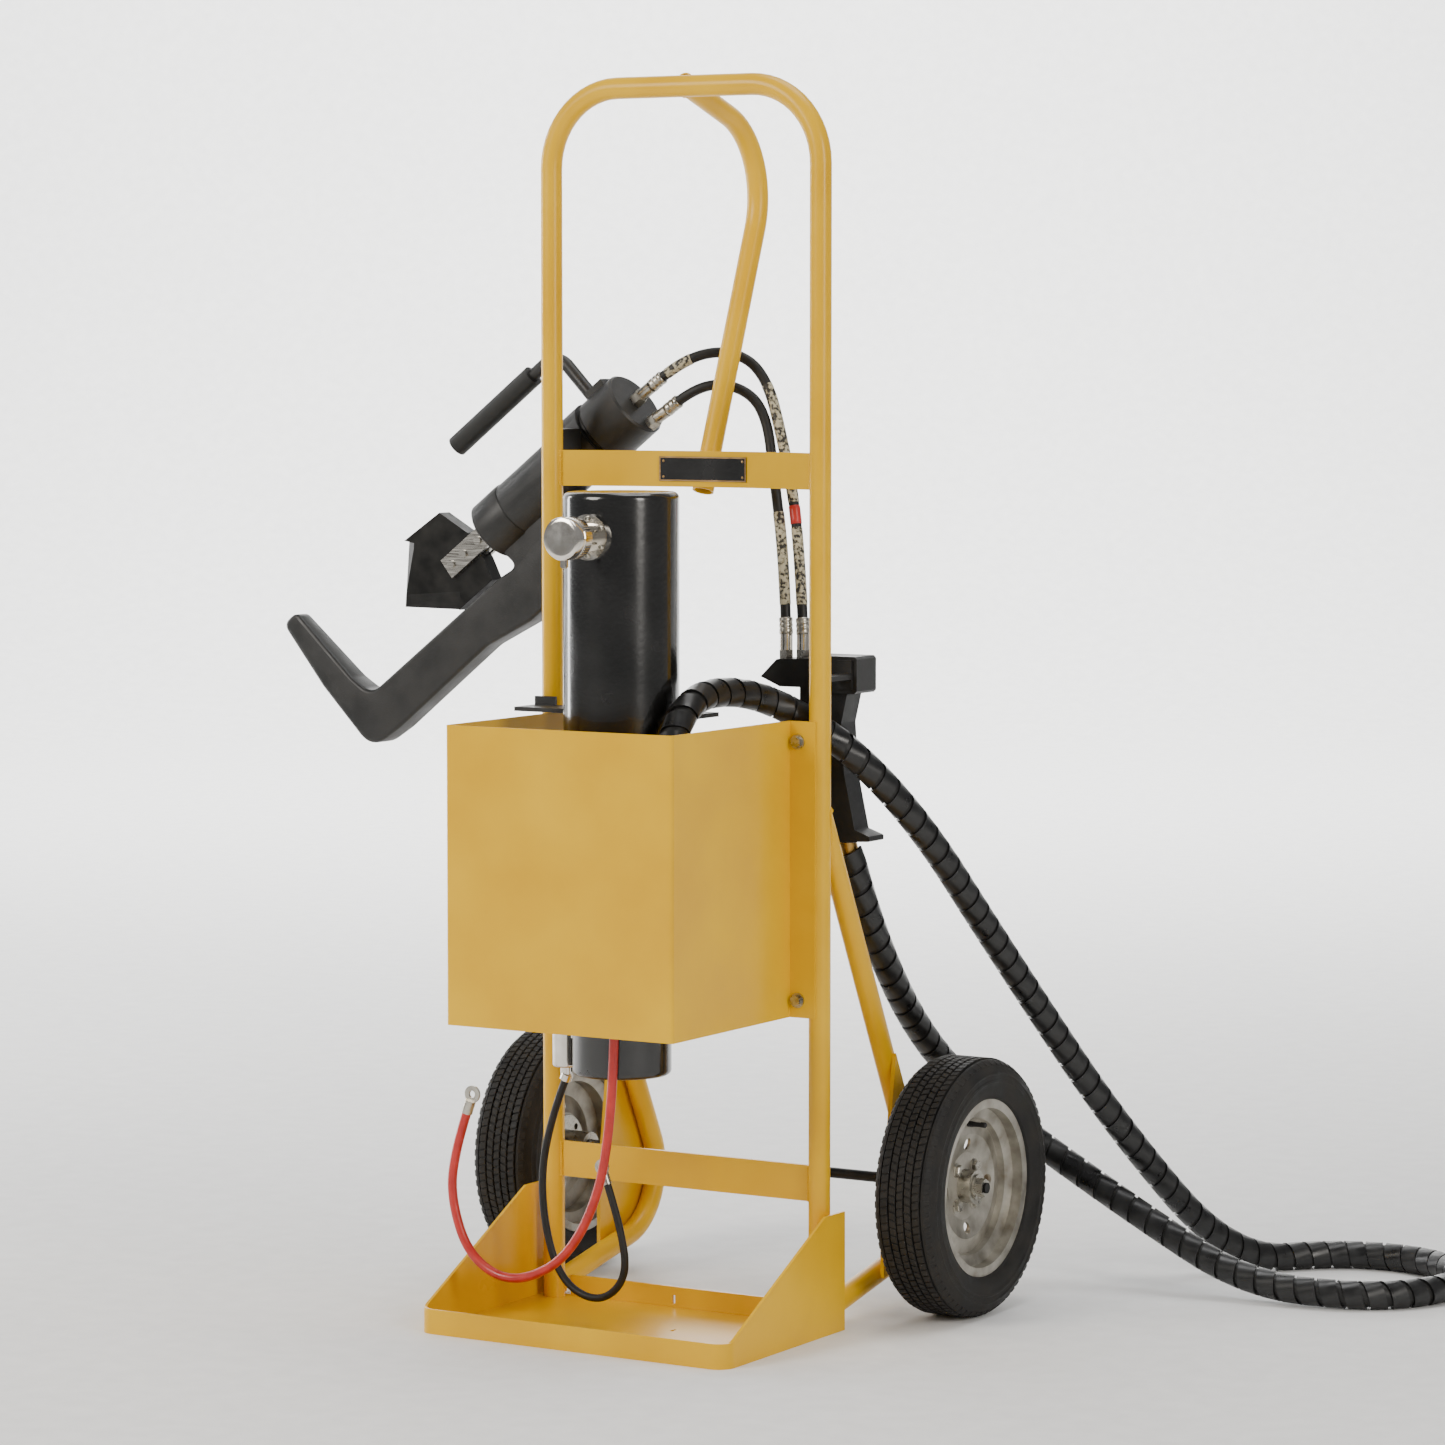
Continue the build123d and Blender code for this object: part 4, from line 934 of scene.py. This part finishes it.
# ---------------------------------------------------------------- nameplate
def name_plate():
    """Blank black plate with a bronze frame and four rivets, bent to the bowed crossbar."""
    low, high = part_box("nameplate")
    bow, thickness, span = 34.0, 5.0, 181.0
    radius = (span ** 2 + bow ** 2) / (2 * bow) - thickness
    centre_y = bow - radius - thickness
    middle_z = (low[2] + high[2]) / 2 / MM

    def bent(x, v, out):
        r = radius - out
        return (x * MM, (centre_y + math.sqrt(r * r - x * x)) * MM, (middle_z + v) * MM)

    def panel(bm, x0, x1, v0, v1, base, top):
        count = max(2, round((x1 - x0) / 6))
        rows = []
        for k in range(count + 1):
            x = x0 + (x1 - x0) * k / count
            rows.append([bm.verts.new(bent(x, v, o))
                         for v, o in ((v0, base), (v1, base), (v1, top), (v0, top))])
        for a, b in zip(rows, rows[1:]):
            for k in range(4):
                bm.faces.new([a[k], a[(k + 1) % 4], b[(k + 1) % 4], b[k]])
        bm.faces.new(rows[0])
        bm.faces.new(rows[-1])

    left, right, edge, rim, top = -50, 70, 14.5, 1.8, 1.35
    bm = bmesh.new()
    panel(bm, left, right, -edge, edge, 0, 1.0)
    piece_from("plate_field", mesh_of(bm, "plate_field"), [GLOSS], "cart",
               ["nameplate"])
    bm = bmesh.new()
    panel(bm, left, right, edge - rim, edge, 0.2, top)
    panel(bm, left, right, -edge, rim - edge, 0.2, top)
    panel(bm, left, left + rim, rim - edge, edge - rim, 0.2, top)
    panel(bm, right - rim, right, rim - edge, edge - rim, 0.2, top)
    for x in (-44.5, 64.5):
        for v in (-9.2, 9.2):
            head = bmesh.new()
            bmesh.ops.create_uvsphere(head, u_segments=14, v_segments=8, radius=1.7 * MM)
            bmesh.ops.scale(head, vec=(1, 0.5, 1), verts=head.verts)
            bmesh.ops.translate(head, vec=bent(x, v, 1.0), verts=head.verts)
            bm.from_mesh(mesh_of(head, "rivet"))
    piece_from("plate_frame", mesh_of(bm, "plate_frame"), [BRONZE], "cart")


# ---------------------------------------------------------------- welds
def saddle(start, way, host, host_axis, out=0.3):
    """The line where a tube leaves another of the same radius, just outside it."""
    start, host = Vector(start), Vector(host)
    way, host_axis = Vector(way).normalized(), Vector(host_axis).normalized()
    across = way.cross(host_axis).normalized()
    up = way.cross(across)
    points = []
    for k in range(48):
        a = TAU * k / 48
        offset = across * (TUBE_RADIUS * math.cos(a)) + up * (TUBE_RADIUS * math.sin(a))
        near, far = 0.0, 120.0
        for _ in range(30):
            mid = (near + far) / 2
            spot = start + offset + way * mid - host
            gap = (spot - host_axis * spot.dot(host_axis)).length
            near, far = (mid, far) if gap < TUBE_RADIUS + out else (near, mid)
        points.append((start + offset + way * far) * MM)
    return points


def weld_beads():
    """Rippled weld beads under the paint where tubes and bars meet."""
    ball = bmesh.new()
    bmesh.ops.create_icosphere(ball, subdivisions=2, radius=1.0)
    bmesh.ops.scale(ball, vec=(1, 1, 0.62), verts=ball.verts)
    item = stamp("bead", mesh_of(ball, "bead", 180))
    tree = bead_tree("weld_bead", YELLOW)
    bar_end, bead_top = 170.4, 1443
    lines = []
    for side in (-1, 1):
        x = side * TUBE_SIDE
        lines.append((saddle((x, 2, 602), (0, 265, -530), (x, 0, 0), (0, 0, 1)), True))
        lines.append((saddle((x, 2, 17.5), (0, 265, 54.5), (x, 0, 0), (0, 0, 1)), True))
        for y, z in ((-1.9, 974), (4.6, 974), (-3.4, 151), (3.4, 151)):
            lines.append(([Vector((side * bar_end, y, z + 40 * k / 8)) * MM for k in range(9)],
                          False))
    top = saddle((0, 0, 1440.5), (0, 198, -67), (0, 0, 1436.8), (1, 0, 0))
    lines.append(([p for p in top if p.z < bead_top * MM], True))
    bm = bmesh.new()
    for seed, (points, closed) in enumerate(lines):
        made = grown("weld", polyline("weld_line", points, closed), tree,
                     {"Spacing": 1.9 * MM, "Size": 2.1 * MM, "Seed": seed, "Object": item}, 180)
        bm.from_mesh(made)
    piece_from("weld_beads", smooth_mesh(bm, "weld_beads"), [YELLOW], "cart")


# ---------------------------------------------------------------- floor
def sweep():
    """A pale floor that curves up into a lit backdrop behind the object."""
    near, flat_end, cove, height = -12, 8, 3, 12
    profile = [(near, 0), (flat_end, 0)]
    for k in range(1, 17):
        a = k * TAU / 64
        profile.append((flat_end + cove * math.sin(a), cove - cove * math.cos(a)))
    profile.append((flat_end + cove, height))
    bm = bmesh.new()
    rows = [[bm.verts.new(AWAY * y + ACROSS * x + Vector((0, 0, z))) for x in (-14, 14)]
            for y, z in profile]
    for one, two in zip(rows, rows[1:]):
        bm.faces.new([one[0], one[1], two[1], two[0]])
    mesh = smooth_mesh(bm, "sweep")
    mesh.materials.append(floor_paper())
    linked("sweep", mesh)


# ---------------------------------------------------------------- build
add_camera()
add_lights()
sweep()
wrap = bundle_wrap()
forged_hook()
name_plate()
filler_detail()
weld_beads()
for side_name, side in (("right", 1), ("left", -1)):
    wheel_detail(side_name, side)

upper_end = length_of(upper_line) / MM
lower_end = length_of(lower_line) / MM
upper_pieces = [
    crimp("upper_crimp_front", upper_line, 0, 1),
    crimp("upper_crimp_rear", upper_line, upper_end, -1),
    plain_sleeve("upper_sleeve_front", upper_line, 26, 62, 6.7, SLEEVE),
    plain_sleeve("upper_sleeve_middle", upper_line, 170, 318, 6.7, SLEEVE),
    plain_sleeve("upper_red_band", upper_line, 322, 344, 6.9, RED),
    plain_sleeve("upper_sleeve_rear", upper_line, 348, 440, 6.7, SLEEVE)]
lower_pieces = [
    crimp("lower_crimp_front", lower_line, 0, 1),
    crimp("lower_crimp_rear", lower_line, lower_end, -1),
    plain_sleeve("lower_red_band", lower_line, 70, 92, 6.9, RED),
    plain_sleeve("lower_sleeve_rear", lower_line, 262, 372, 6.7, SLEEVE)]

length_of(bundle_line)
length_of(upper_line)
length_of(lower_line)
length_of(red_line)
length_of(black_line)
